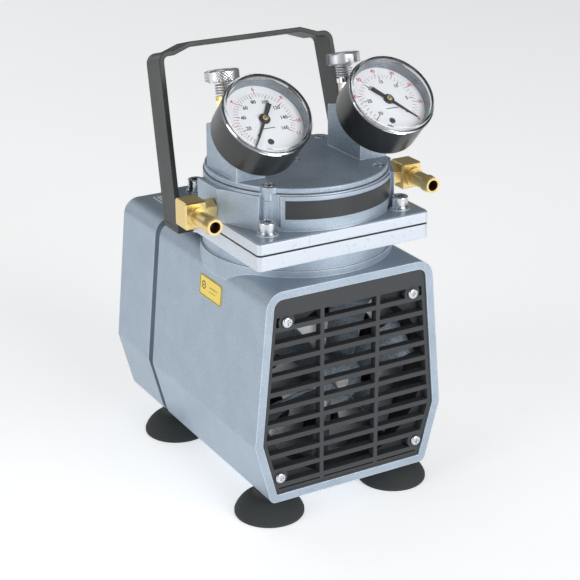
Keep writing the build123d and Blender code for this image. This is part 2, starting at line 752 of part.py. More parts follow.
with BuildPart() as cylinder_head:
    with BuildSketch(level(HEAD_LOW_Z)):
        with Locations((0, HEAD_Y)):
            RectangleRounded(PLATE_SIDE, PLATE_SIDE, PLATE_CORNER_R)
    extrude(amount=PLATE_TOP_Z - HEAD_LOW_Z)
    chamfer(cylinder_head.faces().sort_by(Axis.Z)[-1].edges(), 0.8)
    with BuildSketch(level(PLATE_TOP_Z)):
        with Locations((0, HEAD_Y)):
            Circle(BASE_STEP_R)
    extrude(amount=2.2)
    with BuildSketch(level(PLATE_TOP_Z)):
        with Locations((0, HEAD_Y)):
            Circle(HEAD_R)
    extrude(amount=HEAD_TOP_Z - PLATE_TOP_Z)
    # port bosses, each with a flat for the elbow and a slanted front face
    with BuildSketch(level(PLATE_TOP_Z)):
        for side in (-1, 1):
            with BuildLine():
                Polyline(
                    (side * PORT_FACE_X, FRONT_Y + 77),
                    (side * PORT_FACE_X, FRONT_Y + 52.5),
                    (side * 57.5, FRONT_Y + 49.5),
                    (side * 46.2, FRONT_Y + 27.5),
                    (side * 30, FRONT_Y + 50),
                    (side * 30, FRONT_Y + 77),
                    close=True,
                )
            make_face()
    extrude(amount=HEAD_TOP_Z - 1.4 - PLATE_TOP_Z)
    # half-round pillars for the outer cap screws
    with BuildSketch(level(PLATE_TOP_Z)):
        with Locations(*PILLARS):
            Circle(PILLAR_R)
    extrude(amount=HEAD_TOP_Z - 4.4 - PLATE_TOP_Z)
    # raised pads under the head bolts
    with BuildSketch(level(PLATE_TOP_Z)):
        with Locations((0, HEAD_Y)):
            with GridLocations(HEAD_BOLT_PITCH, HEAD_BOLT_PITCH, 2, 2):
                Circle(6.2)
    extrude(amount=0.8)
    # raised band that frames the name strip
    with BuildSketch(level(PLATE_TOP_Z + 2.2)):
        with Locations((0, HEAD_Y)):
            Circle(BAND_R)
            Circle(HEAD_R - 1, mode=Mode.SUBTRACT)
        with Locations((STRIP_X, HEAD_Y - BAND_R + 8)):
            Rectangle(STRIP_W + 4, 60, mode=Mode.INTERSECT)
    extrude(amount=HEAD_TOP_Z - 0.7 - PLATE_TOP_Z - 2.2)
    # pump chamber from below
    with BuildSketch(level(HEAD_LOW_Z)):
        with Locations((0, HEAD_Y)):
            Circle(CHAMBER_R)
    extrude(amount=CHAMBER_TOP_Z - HEAD_LOW_Z, mode=Mode.SUBTRACT)
    # outlet chamber on the left, inlet chamber on the right
    with BuildSketch(level(PORT_PLATE_TOP_Z)):
        with Locations((0, HEAD_Y)):
            Circle(46)
            Rectangle(6, 100, mode=Mode.SUBTRACT)
    extrude(amount=HEAD_TOP_Z - PORT_PLATE_TOP_Z, mode=Mode.SUBTRACT)
    # valve ports around the hole for each valve pin
    with BuildSketch(level(CHAMBER_TOP_Z)):
        for x in (-VALVE_X, VALVE_X):
            with Locations((x, HEAD_Y)):
                Circle(PIN_HOLE_R)
                with PolarLocations(4.1, 4):
                    Circle(1.4)
    extrude(amount=PORT_PLATE_TOP_Z - CHAMBER_TOP_Z, mode=Mode.SUBTRACT)
    # side ports to the elbows
    with BuildSketch(Plane.YZ.offset(-PORT_FACE_X)):
        with Locations((ELBOW_Y, PORT_Z)):
            Circle(4.1)
    extrude(amount=2 * PORT_FACE_X, mode=Mode.SUBTRACT)
    # bolt holes
    with BuildSketch(level(PLATE_TOP_Z + 1)):
        with Locations((0, HEAD_Y)):
            with GridLocations(HEAD_BOLT_PITCH, HEAD_BOLT_PITCH, 2, 2):
                Circle(3.1)
    extrude(amount=-10, mode=Mode.SUBTRACT)
    with BuildSketch(level(HEAD_TOP_Z)):
        with Locations(*CAP_SCREWS):
            Circle(CAP_SCREW_R)
    extrude(amount=-8, mode=Mode.SUBTRACT)
finish(cylinder_head.part, "cylinder_head")


# Each port row is covered by a rubber disc that floats on a headed pin.
DISC_R = 6.4
DISC_T = 0.7
DISC_LIFT = 0.9
PIN_R = 1.5
PIN_HEAD_R = 3.2
PIN_HEAD_T = 0.7
OUTLET_DISC_Z = PORT_PLATE_TOP_Z + 0.05
INLET_DISC_Z = CHAMBER_TOP_Z - DISC_T - 0.05


def valve_disc(x, z):
    """A soft disc with a centre hole for its pin."""
    with BuildPart() as disc:
        with BuildSketch(level(z)):
            with Locations((x, HEAD_Y)):
                Circle(DISC_R)
                Circle(PIN_R + 0.08, mode=Mode.SUBTRACT)
        extrude(amount=DISC_T)
    return disc.part


finish(valve_disc(-VALVE_X, OUTLET_DISC_Z), "outlet_valve_disc")
finish(valve_disc(VALVE_X, INLET_DISC_Z), "inlet_valve_disc")

with BuildPart() as valve_pins:
    outlet_top = OUTLET_DISC_Z + DISC_T + DISC_LIFT + 0.1
    inlet_low = INLET_DISC_Z - DISC_LIFT - 0.1
    with BuildSketch(level(CHAMBER_TOP_Z + 0.3)):
        with Locations((-VALVE_X, HEAD_Y)):
            Circle(PIN_R)
    extrude(amount=outlet_top - CHAMBER_TOP_Z - 0.3)
    with BuildSketch(level(outlet_top)):
        with Locations((-VALVE_X, HEAD_Y)):
            Circle(PIN_HEAD_R)
    extrude(amount=PIN_HEAD_T)
    with BuildSketch(level(PORT_PLATE_TOP_Z - 0.3)):
        with Locations((VALVE_X, HEAD_Y)):
            Circle(PIN_R)
    extrude(amount=-(PORT_PLATE_TOP_Z - 0.3 - inlet_low))
    with BuildSketch(level(inlet_low)):
        with Locations((VALVE_X, HEAD_Y)):
            Circle(PIN_HEAD_R)
    extrude(amount=-PIN_HEAD_T)
finish(valve_pins.part, "valve_pins")

BOLT_HEAD_R = 5.0
BOLT_HEAD_H = 6.2
WASHER_R = 6.0
WASHER_T = 0.9
NUT_T = 4.6
WASHER_Z = PLATE_TOP_Z + 0.8
TAB_T = 3.0
NUT_Z = PLATE_LOW_Z - TAB_T - 0.4 - NUT_T

# the front pair screws into the lower plate and the rear pair holds the handle with nuts
with BuildPart() as head_bolts:
    with BuildSketch(level(WASHER_Z)):
        with Locations(*BOLTS):
            Circle(BOLT_R)
    extrude(amount=-(WASHER_Z - DIAPHRAGM_Z + BOLT_DEPTH - 0.4))
    with BuildSketch(level(WASHER_Z)):
        with Locations(*BOLTS[2:]):
            Circle(BOLT_R)
    extrude(amount=-(WASHER_Z - NUT_Z + 1.5))
    with BuildSketch(level(WASHER_Z)):
        with Locations(*BOLTS):
            Circle(WASHER_R)
    extrude(amount=WASHER_T)
    with BuildSketch(level(WASHER_Z + WASHER_T)):
        with Locations(*BOLTS):
            Circle(BOLT_HEAD_R)
    extrude(amount=BOLT_HEAD_H)
    fillet(head_bolts.edges().group_by(Axis.Z)[-1], 0.6)
    with BuildSketch(level(WASHER_Z + WASHER_T + BOLT_HEAD_H)):
        with Locations(*BOLTS):
            RegularPolygon(2.9, 6)
    extrude(amount=-3.2, mode=Mode.SUBTRACT)
    with BuildSketch(level(NUT_Z)):
        with Locations(*BOLTS[2:]):
            RegularPolygon(5.2, 6)
    extrude(amount=NUT_T)
finish(head_bolts.part, "head_bolts")

# ---------------------------------------------------------------- manifold cap and towers
CAP_STEP_H = 0.7
TOWER_IN_X = 32.4
TOWER_OUT_X = 51.2
TOWER_FRONT_Y = FRONT_Y + 44.3
TOWER_BACK_Y = FRONT_Y + 81.6
TOWER_FRONT_H = 9.0
TOWER_SLOPE = 28.3       # length of the face that carries the gauge
CAP_HEAD_R = 3.4
slope_y = TOWER_FRONT_Y + TOWER_SLOPE * sin(radians(TOWER_TILT))
slope_z = CAP_TOP_Z + TOWER_FRONT_H + TOWER_SLOPE * cos(radians(TOWER_TILT))
back_z = slope_z - (TOWER_BACK_Y - slope_y) * sin(radians(VALVE_TILT))

# pointer hub of the gauges, in front of the slanted tower face
HUB_Y = FRONT_Y + 29.0
HUB_Z = BASE_Z + 227.4
# foot of the valves on the tower tops
VALVE_Y = FRONT_Y + 73.0
VALVE_Z = BASE_Z + 215.8
STEM_R = 5.0
# cast boss on the tower face, and how far behind the gauge case it starts
BOSS_GAP = 7.0
GAUGE_BOSS_R = 8.5
GAUGE_BOSS_LEN = 11.0
STEM_HOLE_LEN = 20.0
PASSAGE_X = TOWER_X - 5.8


def gauge_plane(x, turn=0.0):
    """The gauge's own frame: origin at the pointer, its normal out of the dial, turned about it."""
    tilt = radians(GAUGE_TILT)
    spin = radians(turn)
    return Plane(
        origin=(x, HUB_Y, HUB_Z),
        x_dir=(cos(spin), sin(spin) * sin(tilt), sin(spin) * cos(tilt)),
        z_dir=(0, -cos(tilt), sin(tilt)),
    )


def valve_plane(x):
    """The relief valve's own frame: origin on the tower top, its normal along the stem."""
    tilt = radians(VALVE_TILT)
    return Plane(origin=(x, VALVE_Y, VALVE_Z), x_dir=(1, 0, 0), z_dir=(0, sin(tilt), cos(tilt)))


with BuildPart() as manifold_cap:
    with BuildSketch(level(HEAD_TOP_Z)):
        with Locations((0, HEAD_Y)):
            Circle(CAP_R - 1.5)
    extrude(amount=CAP_STEP_H)
    with BuildSketch(level(HEAD_TOP_Z + CAP_STEP_H)):
        with Locations((0, HEAD_Y)):
            Circle(CAP_R)
    extrude(amount=CAP_TOP_Z - HEAD_TOP_Z - CAP_STEP_H)
    rim = manifold_cap.faces().sort_by(Axis.Z)[-1].edges()
    fillet(rim, 0.7)
    with BuildSketch(level(HEAD_TOP_Z - 3.9)):
        with Locations(*PILLARS):
            Circle(PILLAR_R)
        with Locations((0, HEAD_Y)):
            Circle(HEAD_R + 0.1, mode=Mode.SUBTRACT)
    extrude(amount=CAP_TOP_Z - HEAD_TOP_Z + 3.9)
    with BuildSketch(level(HEAD_TOP_Z)):
        with Locations(*PILLARS):
            Circle(PILLAR_R)
    extrude(amount=CAP_TOP_Z - HEAD_TOP_Z)
    for x_low in (-TOWER_OUT_X, TOWER_IN_X):
        with BuildSketch(Plane.YZ.offset(x_low)):
            with BuildLine():
                Polyline(
                    (TOWER_FRONT_Y, CAP_TOP_Z - 1),
                    (TOWER_FRONT_Y, CAP_TOP_Z + TOWER_FRONT_H),
                    (slope_y, slope_z),
                    (TOWER_BACK_Y, back_z),
                    (TOWER_BACK_Y, CAP_TOP_Z - 1),
                    close=True,
                )
            make_face()
        extrude(amount=TOWER_OUT_X - TOWER_IN_X)
    for x in (-TOWER_X, TOWER_X):
        # cast boss that carries the gauge stem
        with BuildSketch(gauge_plane(x).offset(-GAUGE_DEPTH - BOSS_GAP)):
            Circle(GAUGE_BOSS_R)
        extrude(amount=-GAUGE_BOSS_LEN)
        with BuildSketch(gauge_plane(x).offset(-GAUGE_DEPTH - BOSS_GAP + 1)):
            Circle(STEM_R + 0.1)
        extrude(amount=-STEM_HOLE_LEN, mode=Mode.SUBTRACT)
        with BuildSketch(valve_plane(x).offset(3)):
            Circle(3.7)
        extrude(amount=-11, mode=Mode.SUBTRACT)
        # air passage from the chamber below to the gauge and the valve
        with BuildSketch(level(HEAD_TOP_Z)):
            with Locations((PASSAGE_X if x > 0 else -PASSAGE_X, HEAD_Y - 3)):
                Circle(2.5)
        extrude(amount=16, mode=Mode.SUBTRACT)
    with BuildSketch(level(HEAD_TOP_Z - 4)):
        with Locations(*CAP_SCREWS):
            Circle(CAP_SCREW_R + 0.1)
    extrude(amount=CAP_TOP_Z - HEAD_TOP_Z + 4, mode=Mode.SUBTRACT)
    with BuildSketch(level(CAP_TOP_Z)):
        with Locations(*CAP_SCREWS):
            Circle(CAP_HEAD_R + 0.5)
    extrude(amount=-1.6, mode=Mode.SUBTRACT)
finish(manifold_cap.part, "manifold_cap")

with BuildPart() as cap_screws:
    with BuildSketch(level(CAP_TOP_Z - 1.6)):
        with Locations(*CAP_SCREWS):
            Circle(CAP_HEAD_R)
    extrude(amount=2.0)
    fillet(cap_screws.faces().group_by(Axis.Z)[-1].edges(), 1.0)
    with BuildSketch(level(CAP_TOP_Z - 1.6)):
        with Locations(*CAP_SCREWS):
            Circle(CAP_SCREW_R - 0.1)
    extrude(amount=-8)
    with BuildSketch(level(CAP_TOP_Z + 0.4)):
        for x, y in CAP_SCREWS:
            with Locations((x, y)):
                Rectangle(3.8, 0.9)
                Rectangle(0.9, 3.8)
    extrude(amount=-1.2, mode=Mode.SUBTRACT)
finish(cap_screws.part, "cap_screws")

# ---------------------------------------------------------------- labels
STRIP_T = 0.3
STRIP_LOW_H = 170.4
STRIP_TOP_H = 181.4

with BuildPart() as name_strip:
    with BuildSketch(level(BASE_Z + STRIP_LOW_H)):
        with Locations((0, HEAD_Y)):
            Circle(BAND_R + 0.02 + STRIP_T)
            Circle(BAND_R + 0.02, mode=Mode.SUBTRACT)
        with Locations((STRIP_X, HEAD_Y - BAND_R + 8)):
            Rectangle(STRIP_W, 60, mode=Mode.INTERSECT)
    extrude(amount=STRIP_TOP_H - STRIP_LOW_H)
finish(name_strip.part, "name_strip")

SIDE_LABEL_Y = FRONT_Y + 67.0
SIDE_LABEL_H = 115.0
side_slope = atan2(WAIST_HALF_W - TOP_HALF_W, HOUSING_H - WAIST_H)
side_x = -(WAIST_HALF_W - (SIDE_LABEL_H - WAIST_H) * (WAIST_HALF_W - TOP_HALF_W) / (HOUSING_H - WAIST_H))
side_plane = Plane(
    origin=(side_x, SIDE_LABEL_Y, BASE_Z + SIDE_LABEL_H),
    x_dir=(0, -1, 0),
    z_dir=(-cos(side_slope), 0, sin(side_slope)),
)

with BuildPart() as side_label:
    with BuildSketch(side_plane.offset(0.02)):
        RectangleRounded(28, 13.5, 2.5)
    extrude(amount=0.3)
finish(side_label.part, "side_label")

with BuildPart() as nameplate:
    with BuildSketch(level(BASE_Z + HOUSING_H + 0.02)):
        with Locations((0, FRONT_Y + 179.7)):
            RectangleRounded(77, 15.5, 1.5)
    extrude(amount=0.4)
finish(nameplate.part, "nameplate")

# ---------------------------------------------------------------- elbows with hose barbs
BLOCK_W = 13.8
BLOCK_D = 14.0
BLOCK_H = 16.4


def elbow(side):
    """A brass street elbow: threaded stem into the head, block, and a barb facing forwards."""
    with BuildPart() as body:
        with Locations((side * ELBOW_X, ELBOW_Y, PORT_Z)):
            Box(BLOCK_W, BLOCK_D, BLOCK_H)
        chamfer(body.edges(), 0.9)
        stem_plane = Plane(origin=(side * (ELBOW_X - 4), ELBOW_Y, PORT_Z), z_dir=(-side, 0, 0))
        with BuildSketch(stem_plane):
            RegularPolygon(6.6, 6)
        extrude(amount=ELBOW_X - 4 - PORT_FACE_X - 0.4)
        with BuildSketch(stem_plane):
            Circle(4.0)
        extrude(amount=ELBOW_X - 4 - PORT_FACE_X + 8)
        with BuildSketch(front_plane(ELBOW_Y)):
            with Locations((side * ELBOW_X, PORT_Z)):
                Circle(6.2)
        extrude(amount=BLOCK_D / 2 + 4.5)
        with BuildSketch(front_plane(ELBOW_Y)):
            with Locations((side * ELBOW_X, PORT_Z)):
                Circle(BARB_R)
        extrude(amount=ELBOW_Y - BARB_TIP_Y)
        # ridge of the barb, with its slope towards the tip
        with BuildSketch(front_plane(BARB_TIP_Y + 5.5)):
            with Locations((side * ELBOW_X, PORT_Z)):
                Circle(BARB_R + 0.7)
        extrude(amount=4, taper=9)
        # the L-shaped air passage
        with BuildSketch(front_plane(BARB_TIP_Y)):
            with Locations((side * ELBOW_X, PORT_Z)):
                Circle(BARB_BORE_R)
        extrude(amount=-(ELBOW_Y - BARB_TIP_Y), mode=Mode.SUBTRACT)
        with BuildSketch(Plane(origin=(side * ELBOW_X, ELBOW_Y, PORT_Z), z_dir=(-side, 0, 0))):
            Circle(2.6)
        extrude(amount=ELBOW_X - PORT_FACE_X + 8, mode=Mode.SUBTRACT)
    return body.part


finish(elbow(-1), "outlet_elbow")
finish(elbow(1), "inlet_elbow")

# ---------------------------------------------------------------- gauges
CASE_WALL = 1.2
CASE_FRONT = 4.7         # case rim in front of the pointer
DIAL_BACK = -1.2
DIAL_T = 0.8
DIAL_R = 24.8
CRYSTAL_R = 26.9
CRYSTAL_BORE_R = 24.4
CRYSTAL_FRONT = 9.1
POINTER_LEN = 20.5
POINTER_TAIL = 12.1
ARBOR_R = 1.2
BLOCK_BACK = 15.7        # movement block, behind the pointer
BLOCK_LEN = 10.5
PRESSURE_ZERO = 234.0    # direction of the pointer at rest, anticlockwise from dial right
VACUUM_ZERO = -48.0


def gauge_case(x):
    """Round black case with a flat back and a hole for the stem."""
    plane = gauge_plane(x)
    with BuildPart() as case:
        with BuildSketch(plane.offset(-GAUGE_DEPTH)):
            Circle(GAUGE_R)
        extrude(amount=GAUGE_DEPTH + CASE_FRONT)
        behind = Axis(plane.origin, -plane.z_dir)
        fillet(case.faces().sort_by(behind)[-1].edges(), 1.5)
        with BuildSketch(plane.offset(-GAUGE_DEPTH + 1.5)):
            Circle(GAUGE_R - CASE_WALL)
        extrude(amount=GAUGE_DEPTH + CASE_FRONT, mode=Mode.SUBTRACT)
        with BuildSketch(plane.offset(-GAUGE_DEPTH)):
            Circle(STEM_R + 0.1)
        extrude(amount=2, mode=Mode.SUBTRACT)
    return case.part


def gauge_movement(x):
    """Brass stem, movement block and the curved spring tube that turns the pointer."""
    plane = gauge_plane(x)
    with BuildPart() as movement:
        with BuildSketch(plane.offset(-GAUGE_DEPTH - 14)):
            Circle(STEM_R)
        extrude(amount=18)
        with BuildSketch(plane.offset(-GAUGE_DEPTH - 6)):
            RegularPolygon(7.5, 6)
        extrude(amount=5)
        with BuildSketch(plane.offset(-BLOCK_BACK)):
            Rectangle(14, 20)
        extrude(amount=BLOCK_LEN)
        with BuildSketch(plane.offset(-12)):
            Circle(20)
            Circle(17.6, mode=Mode.SUBTRACT)
            with Locations((0, -16)):
                Rectangle(11, 12, mode=Mode.SUBTRACT)
        extrude(amount=6)
        with BuildSketch(plane.offset(-12)):
            with Locations((8.5, -14.8)):
                Rectangle(6, 4)
            with Locations((4, -11)):
                Rectangle(7, 6)
        extrude(amount=6)
        with BuildSketch(plane.offset(-BLOCK_BACK)):
            Circle(ARBOR_R + 0.05)
        extrude(amount=BLOCK_LEN, mode=Mode.SUBTRACT)
        with BuildSketch(plane.offset(-GAUGE_DEPTH - 14)):
            Circle(1.8)
        extrude(amount=15, mode=Mode.SUBTRACT)
    return movement.part


def gauge_dial(x):
    """The printed dial, held in the mouth of the case."""
    with BuildPart() as dial:
        with BuildSketch(gauge_plane(x).offset(DIAL_BACK)):
            Circle(DIAL_R)
            Circle(ARBOR_R + 0.4, mode=Mode.SUBTRACT)
        extrude(amount=DIAL_T)
    return dial.part


def gauge_pointer(x, zero):
    """Pointer with its arbor; the tip points along the zero direction."""
    plane = gauge_plane(x)
    with BuildPart() as pointer:
        with BuildSketch(plane.offset(-14)):
            Circle(ARBOR_R)
        extrude(amount=14)
        with BuildSketch(gauge_plane(x, zero)):
            with BuildLine():
                Polyline(
                    (-POINTER_TAIL, -1.5),
                    (0, -1.1),
                    (POINTER_LEN, -0.25),
                    (POINTER_LEN, 0.25),
                    (0, 1.1),
                    (-POINTER_TAIL, 1.5),
                    close=True,
                )
            make_face()
            Circle(3.4)
        extrude(amount=0.7)
        with BuildSketch(plane.offset(0.7)):
            Circle(2.3)
        extrude(amount=0.9)
        with BuildSketch(gauge_plane(x, zero + 30).offset(1.6)):
            Rectangle(4.0, 0.5)
        extrude(amount=-0.5, mode=Mode.SUBTRACT)
    return pointer.part


def gauge_crystal(x):
    """Clear stepped cover that snaps over the case."""
    plane = gauge_plane(x)
    with BuildPart() as crystal:
        with BuildSketch(plane.offset(CASE_FRONT + 0.02)):
            Circle(CRYSTAL_R)
        extrude(amount=CRYSTAL_FRONT - CASE_FRONT - 2)
        with BuildSketch(plane.offset(CRYSTAL_FRONT - 2)):
            Circle(CRYSTAL_R - 1.0)
        extrude(amount=2.0, taper=20)
        with BuildSketch(plane.offset(CASE_FRONT)):
            Circle(CRYSTAL_BORE_R)
        extrude(amount=CRYSTAL_FRONT - CASE_FRONT - 1.4, mode=Mode.SUBTRACT)
    return crystal.part


for name, x, zero in (
    ("pressure", -TOWER_X, PRESSURE_ZERO),
    ("vacuum", TOWER_X, VACUUM_ZERO),
):
    finish(gauge_case(x), f"{name}_gauge_case")
    finish(gauge_movement(x), f"{name}_gauge_movement")
    finish(gauge_dial(x), f"{name}_gauge_dial")
    finish(gauge_pointer(x, zero), f"{name}_gauge_pointer")
    finish(gauge_crystal(x), f"{name}_gauge_crystal")

# ---------------------------------------------------------------- relief valves
SPRING_R = 4.6
SPRING_WIRE_R = 0.55
SPRING_TURNS = 3
SPRING_LOW = 15.7
SPRING_TOP = 22.3
VALVE_WASHER_T = 0.5
KNOB_LOW = 23.0
VALVE_STEM_R = 2.2


def valve_body(x):
    """Brass body: tapered thread, hexagon, and the threaded stem that the knob climbs."""
    plane = valve_plane(x)
    with BuildPart() as body:
        with BuildSketch(plane.offset(-6)):
            Circle(3.3)
        with BuildSketch(plane.offset(6)):
            Circle(3.9)
        loft()
        with BuildSketch(plane.offset(6)):
            RegularPolygon(5.6, 6)
        extrude(amount=6.5)
        with BuildSketch(plane.offset(12.5)):
            Circle(5.3)
        extrude(amount=2.6)
        with BuildSketch(plane.offset(15.1)):
            Circle(VALVE_STEM_R)
        extrude(amount=11.5)
        with BuildSketch(plane.offset(-6)):
            Circle(1.4)
        extrude(amount=14, mode=Mode.SUBTRACT)
    return body.part


def valve_spring(x):
    """Round-wire compression spring around the stem."""
    plane = valve_plane(x)
    height = SPRING_TOP - SPRING_LOW - 2 * SPRING_WIRE_R
    start = plane.offset(SPRING_LOW + SPRING_WIRE_R)
    with BuildPart() as spring:
        with BuildLine(start) as wire:
            Helix(pitch=height / SPRING_TURNS, height=height, radius=SPRING_R)
        with BuildSketch(Plane(origin=wire.line @ 0, z_dir=wire.line % 0)):
            Circle(SPRING_WIRE_R)
        sweep(is_frenet=True)
    return spring.part


def valve_washer(x):
    """Thrust washer between the spring and the knob."""
    with BuildPart() as washer:
        with BuildSketch(valve_plane(x).offset(SPRING_TOP + 0.05)):
            Circle(5.4)
            Circle(VALVE_STEM_R + 0.08, mode=Mode.SUBTRACT)
        extrude(amount=VALVE_WASHER_T)
    return washer.part


def valve_knob(x):
    """Knurled knob, threaded on the stem."""
    plane = valve_plane(x)
    with BuildPart() as knob:
        with BuildSketch(plane.offset(KNOB_LOW)):
            Circle(KNOB_R)
        extrude(amount=KNOB_H)
        chamfer(knob.edges().filter_by(GeomType.CIRCLE), 0.7)
        with BuildSketch(plane.offset(KNOB_LOW)):
            Circle(VALVE_STEM_R + 0.06)
        extrude(amount=KNOB_H - 1.5, mode=Mode.SUBTRACT)
    return knob.part


for name, x in (("pressure", -TOWER_X), ("vacuum", TOWER_X)):
    finish(valve_body(x), f"{name}_valve_body")
    finish(valve_spring(x), f"{name}_valve_spring")
    finish(valve_washer(x), f"{name}_valve_washer")
    finish(valve_knob(x), f"{name}_valve_knob")

# ---------------------------------------------------------------- handle
HANDLE_BOTTOM_Y = FRONT_Y + 104.6
HANDLE_RISE = 4.0
HANDLE_RAMP_X = 12.0
lean = radians(HANDLE_LEAN)
TAB_Z = PLATE_LOW_Z - 0.2 - TAB_T
handle_plane = Plane(
    origin=(0, HANDLE_BOTTOM_Y - 0.6, TAB_Z),
    x_dir=(1, 0, 0),
    z_dir=(0, -cos(lean), sin(lean)),
)
half = HANDLE_HALF_W


def strap_outline(inset):
    """Closed region under the strap, shrunk by inset, open at its foot."""
    side = half - inset
    shoulder = HANDLE_TOP_HALF_W - inset
    ramp = HANDLE_TOP_HALF_W - 10
    top = HANDLE_LEG - inset
    with BuildSketch() as region:
        with BuildLine():
            Polyline(
                (-side, 0),
                (-shoulder, top),
                (-ramp, top),
                (-ramp + HANDLE_RAMP_X, top + HANDLE_RISE),
                (ramp - HANDLE_RAMP_X, top + HANDLE_RISE),
                (ramp, top),
                (shoulder, top),
                (side, 0),
                close=True,
            )
        make_face()
        upper = [v for v in region.vertices() if v.Y > 1]
        corners = [v for v in upper if abs(v.X) > shoulder - 1]
        bends = [v for v in upper if abs(v.X) < shoulder - 1]
        fillet(corners, 6.5 - inset)
        fillet(bends, 12)
    return region.sketch


with BuildPart() as handle:
    with BuildSketch(handle_plane.offset(-HANDLE_W / 2)):
        add(strap_outline(0))
        add(strap_outline(HANDLE_T), mode=Mode.SUBTRACT)
    extrude(amount=HANDLE_W)
    # flat tabs that the rear head bolts clamp under the lower plate
    with BuildSketch(level(TAB_Z)):
        for side in (-1, 1):
            with Locations((side * (half + BOLT - 7) / 2, HANDLE_BOTTOM_Y)):
                Rectangle(half - BOLT + 7, HANDLE_W)
        with Locations((0, HEAD_Y)):
            Circle(NECK_R + 0.8, mode=Mode.SUBTRACT)
        with Locations((-BOLT, HEAD_Y + BOLT), (BOLT, HEAD_Y + BOLT)):
            Circle(3.2, mode=Mode.SUBTRACT)
    extrude(amount=TAB_T)
    # square the feet of the legs off at the tabs
    with BuildSketch(level(TAB_Z)):
        with Locations((0, HANDLE_BOTTOM_Y)):
            Rectangle(3 * half, 60)
    extrude(amount=-10, mode=Mode.SUBTRACT)
finish(handle.part, "handle")

# ---------------------------------------------------------------- feet
FOOT_NECK_R = 9.5
FOOT_CUP_H = 5.0
FOOT_GAP = 0.05
FOOT_PLACES = FRONT_FEET + REAR_FEET

with BuildPart() as feet:
    for x, y in FOOT_PLACES:
        foot_plane = Plane(origin=(x, y, 0), x_dir=(1, 0, 0), z_dir=(0, -1, 0))
        with BuildSketch(foot_plane):
            with BuildLine():
                Polyline((2.2, 6.5), (6, 6.5), (15, 3.4), (FOOT_R - 1.5, 0), (FOOT_R - 0.3, 0))
                Polyline((FOOT_R - 0.3, 0), (FOOT_R, 0.5), (FOOT_R, 2.2))
                ThreePointArc((FOOT_R, 2.2), (17.4, 8.6), (10.6, 13.2))
                Polyline((10.6, 13.2), (FOOT_NECK_R, 14.2), (FOOT_NECK_R, FOOT_H - FOOT_GAP))
                Polyline((FOOT_NECK_R, FOOT_H - FOOT_GAP), (2.2, FOOT_H - FOOT_GAP), (2.2, 6.5))
            make_face()
        revolve(axis=Axis((x, y, 0), (0, 0, 1)))
finish(feet.part, "feet")

with BuildPart() as foot_screws:
    with BuildSketch(level(6.4)):
        with Locations(*FOOT_PLACES):
            Circle(4.0)
    extrude(amount=-2.4)
    with BuildSketch(level(6.4)):
        with Locations(*FOOT_PLACES):
            Circle(2.0)
    extrude(amount=BASE_Z + FOOT_BOSS_H - 2 - 6.4)
    with BuildSketch(level(4.0)):
        for x, y in FOOT_PLACES:
            with Locations((x, y)):
                Rectangle(4.6, 0.9)
                Rectangle(0.9, 4.6)
    extrude(amount=1.2, mode=Mode.SUBTRACT)
finish(foot_screws.part, "foot_screws")

# ---------------------------------------------------------------- switch and cable gland
OUTER_END_Y = -FRONT_Y + GRILLE_HEAD_H - 1.2
GLAND_BORE_R = 3.7
LEVER_TILT = 12.0
SWITCH_DEPTH = 13.0
SWITCH_PIVOT_Y = BACK_Y + 4.5

with BuildPart() as power_switch:
    with BuildSketch(front_plane(BACK_Y - REAR_WALL - SWITCH_DEPTH)):
        with Locations((SWITCH_X, INLET_Z)):
            RectangleRounded(17, 26, 1.5)
    extrude(amount=-SWITCH_DEPTH)
    with BuildSketch(front_plane(BACK_Y - REAR_WALL)):
        with Locations((SWITCH_X, INLET_Z)):
            Circle(SWITCH_HOLE_R - 0.1)
    extrude(amount=-(REAR_WALL + 8))
    with BuildSketch(front_plane(BACK_Y + 0.1)):
        with Locations((SWITCH_X, INLET_Z)):
            RegularPolygon(8.6, 6)
    extrude(amount=-2.6)
    with BuildSketch(front_plane(BACK_Y - 2)):
        with Locations((SWITCH_X, INLET_Z)):
            Rectangle(3.6, 9.4)
    extrude(amount=-(8 + 2), mode=Mode.SUBTRACT)
    with BuildSketch(Plane.YZ.offset(SWITCH_X - 3.4)):
        with Locations((SWITCH_PIVOT_Y, INLET_Z)):
            Circle(1.0)
    extrude(amount=6.8)
finish(power_switch.part, "power_switch")

with BuildPart() as switch_lever:
    lever_lean = radians(LEVER_TILT)
    lever_plane = Plane(
        origin=(SWITCH_X, SWITCH_PIVOT_Y, INLET_Z),
        x_dir=(1, 0, 0),
        z_dir=(0, cos(lever_lean), -sin(lever_lean)),
    )
    with BuildSketch(Plane.YZ.offset(SWITCH_X - 1.6)):
        with Locations((SWITCH_PIVOT_Y, INLET_Z)):
            Circle(2.4)
    extrude(amount=3.2)
    with BuildSketch(lever_plane.offset(1.5)):
        Circle(1.4)
    with BuildSketch(lever_plane.offset(9.5)):
        Circle(2.0)
    loft()
    with BuildSketch(Plane.YZ.offset(SWITCH_X - 2)):
        with Locations((SWITCH_PIVOT_Y, INLET_Z)):
            Circle(1.05)
    extrude(amount=4, mode=Mode.SUBTRACT)
finish(switch_lever.part, "switch_lever")

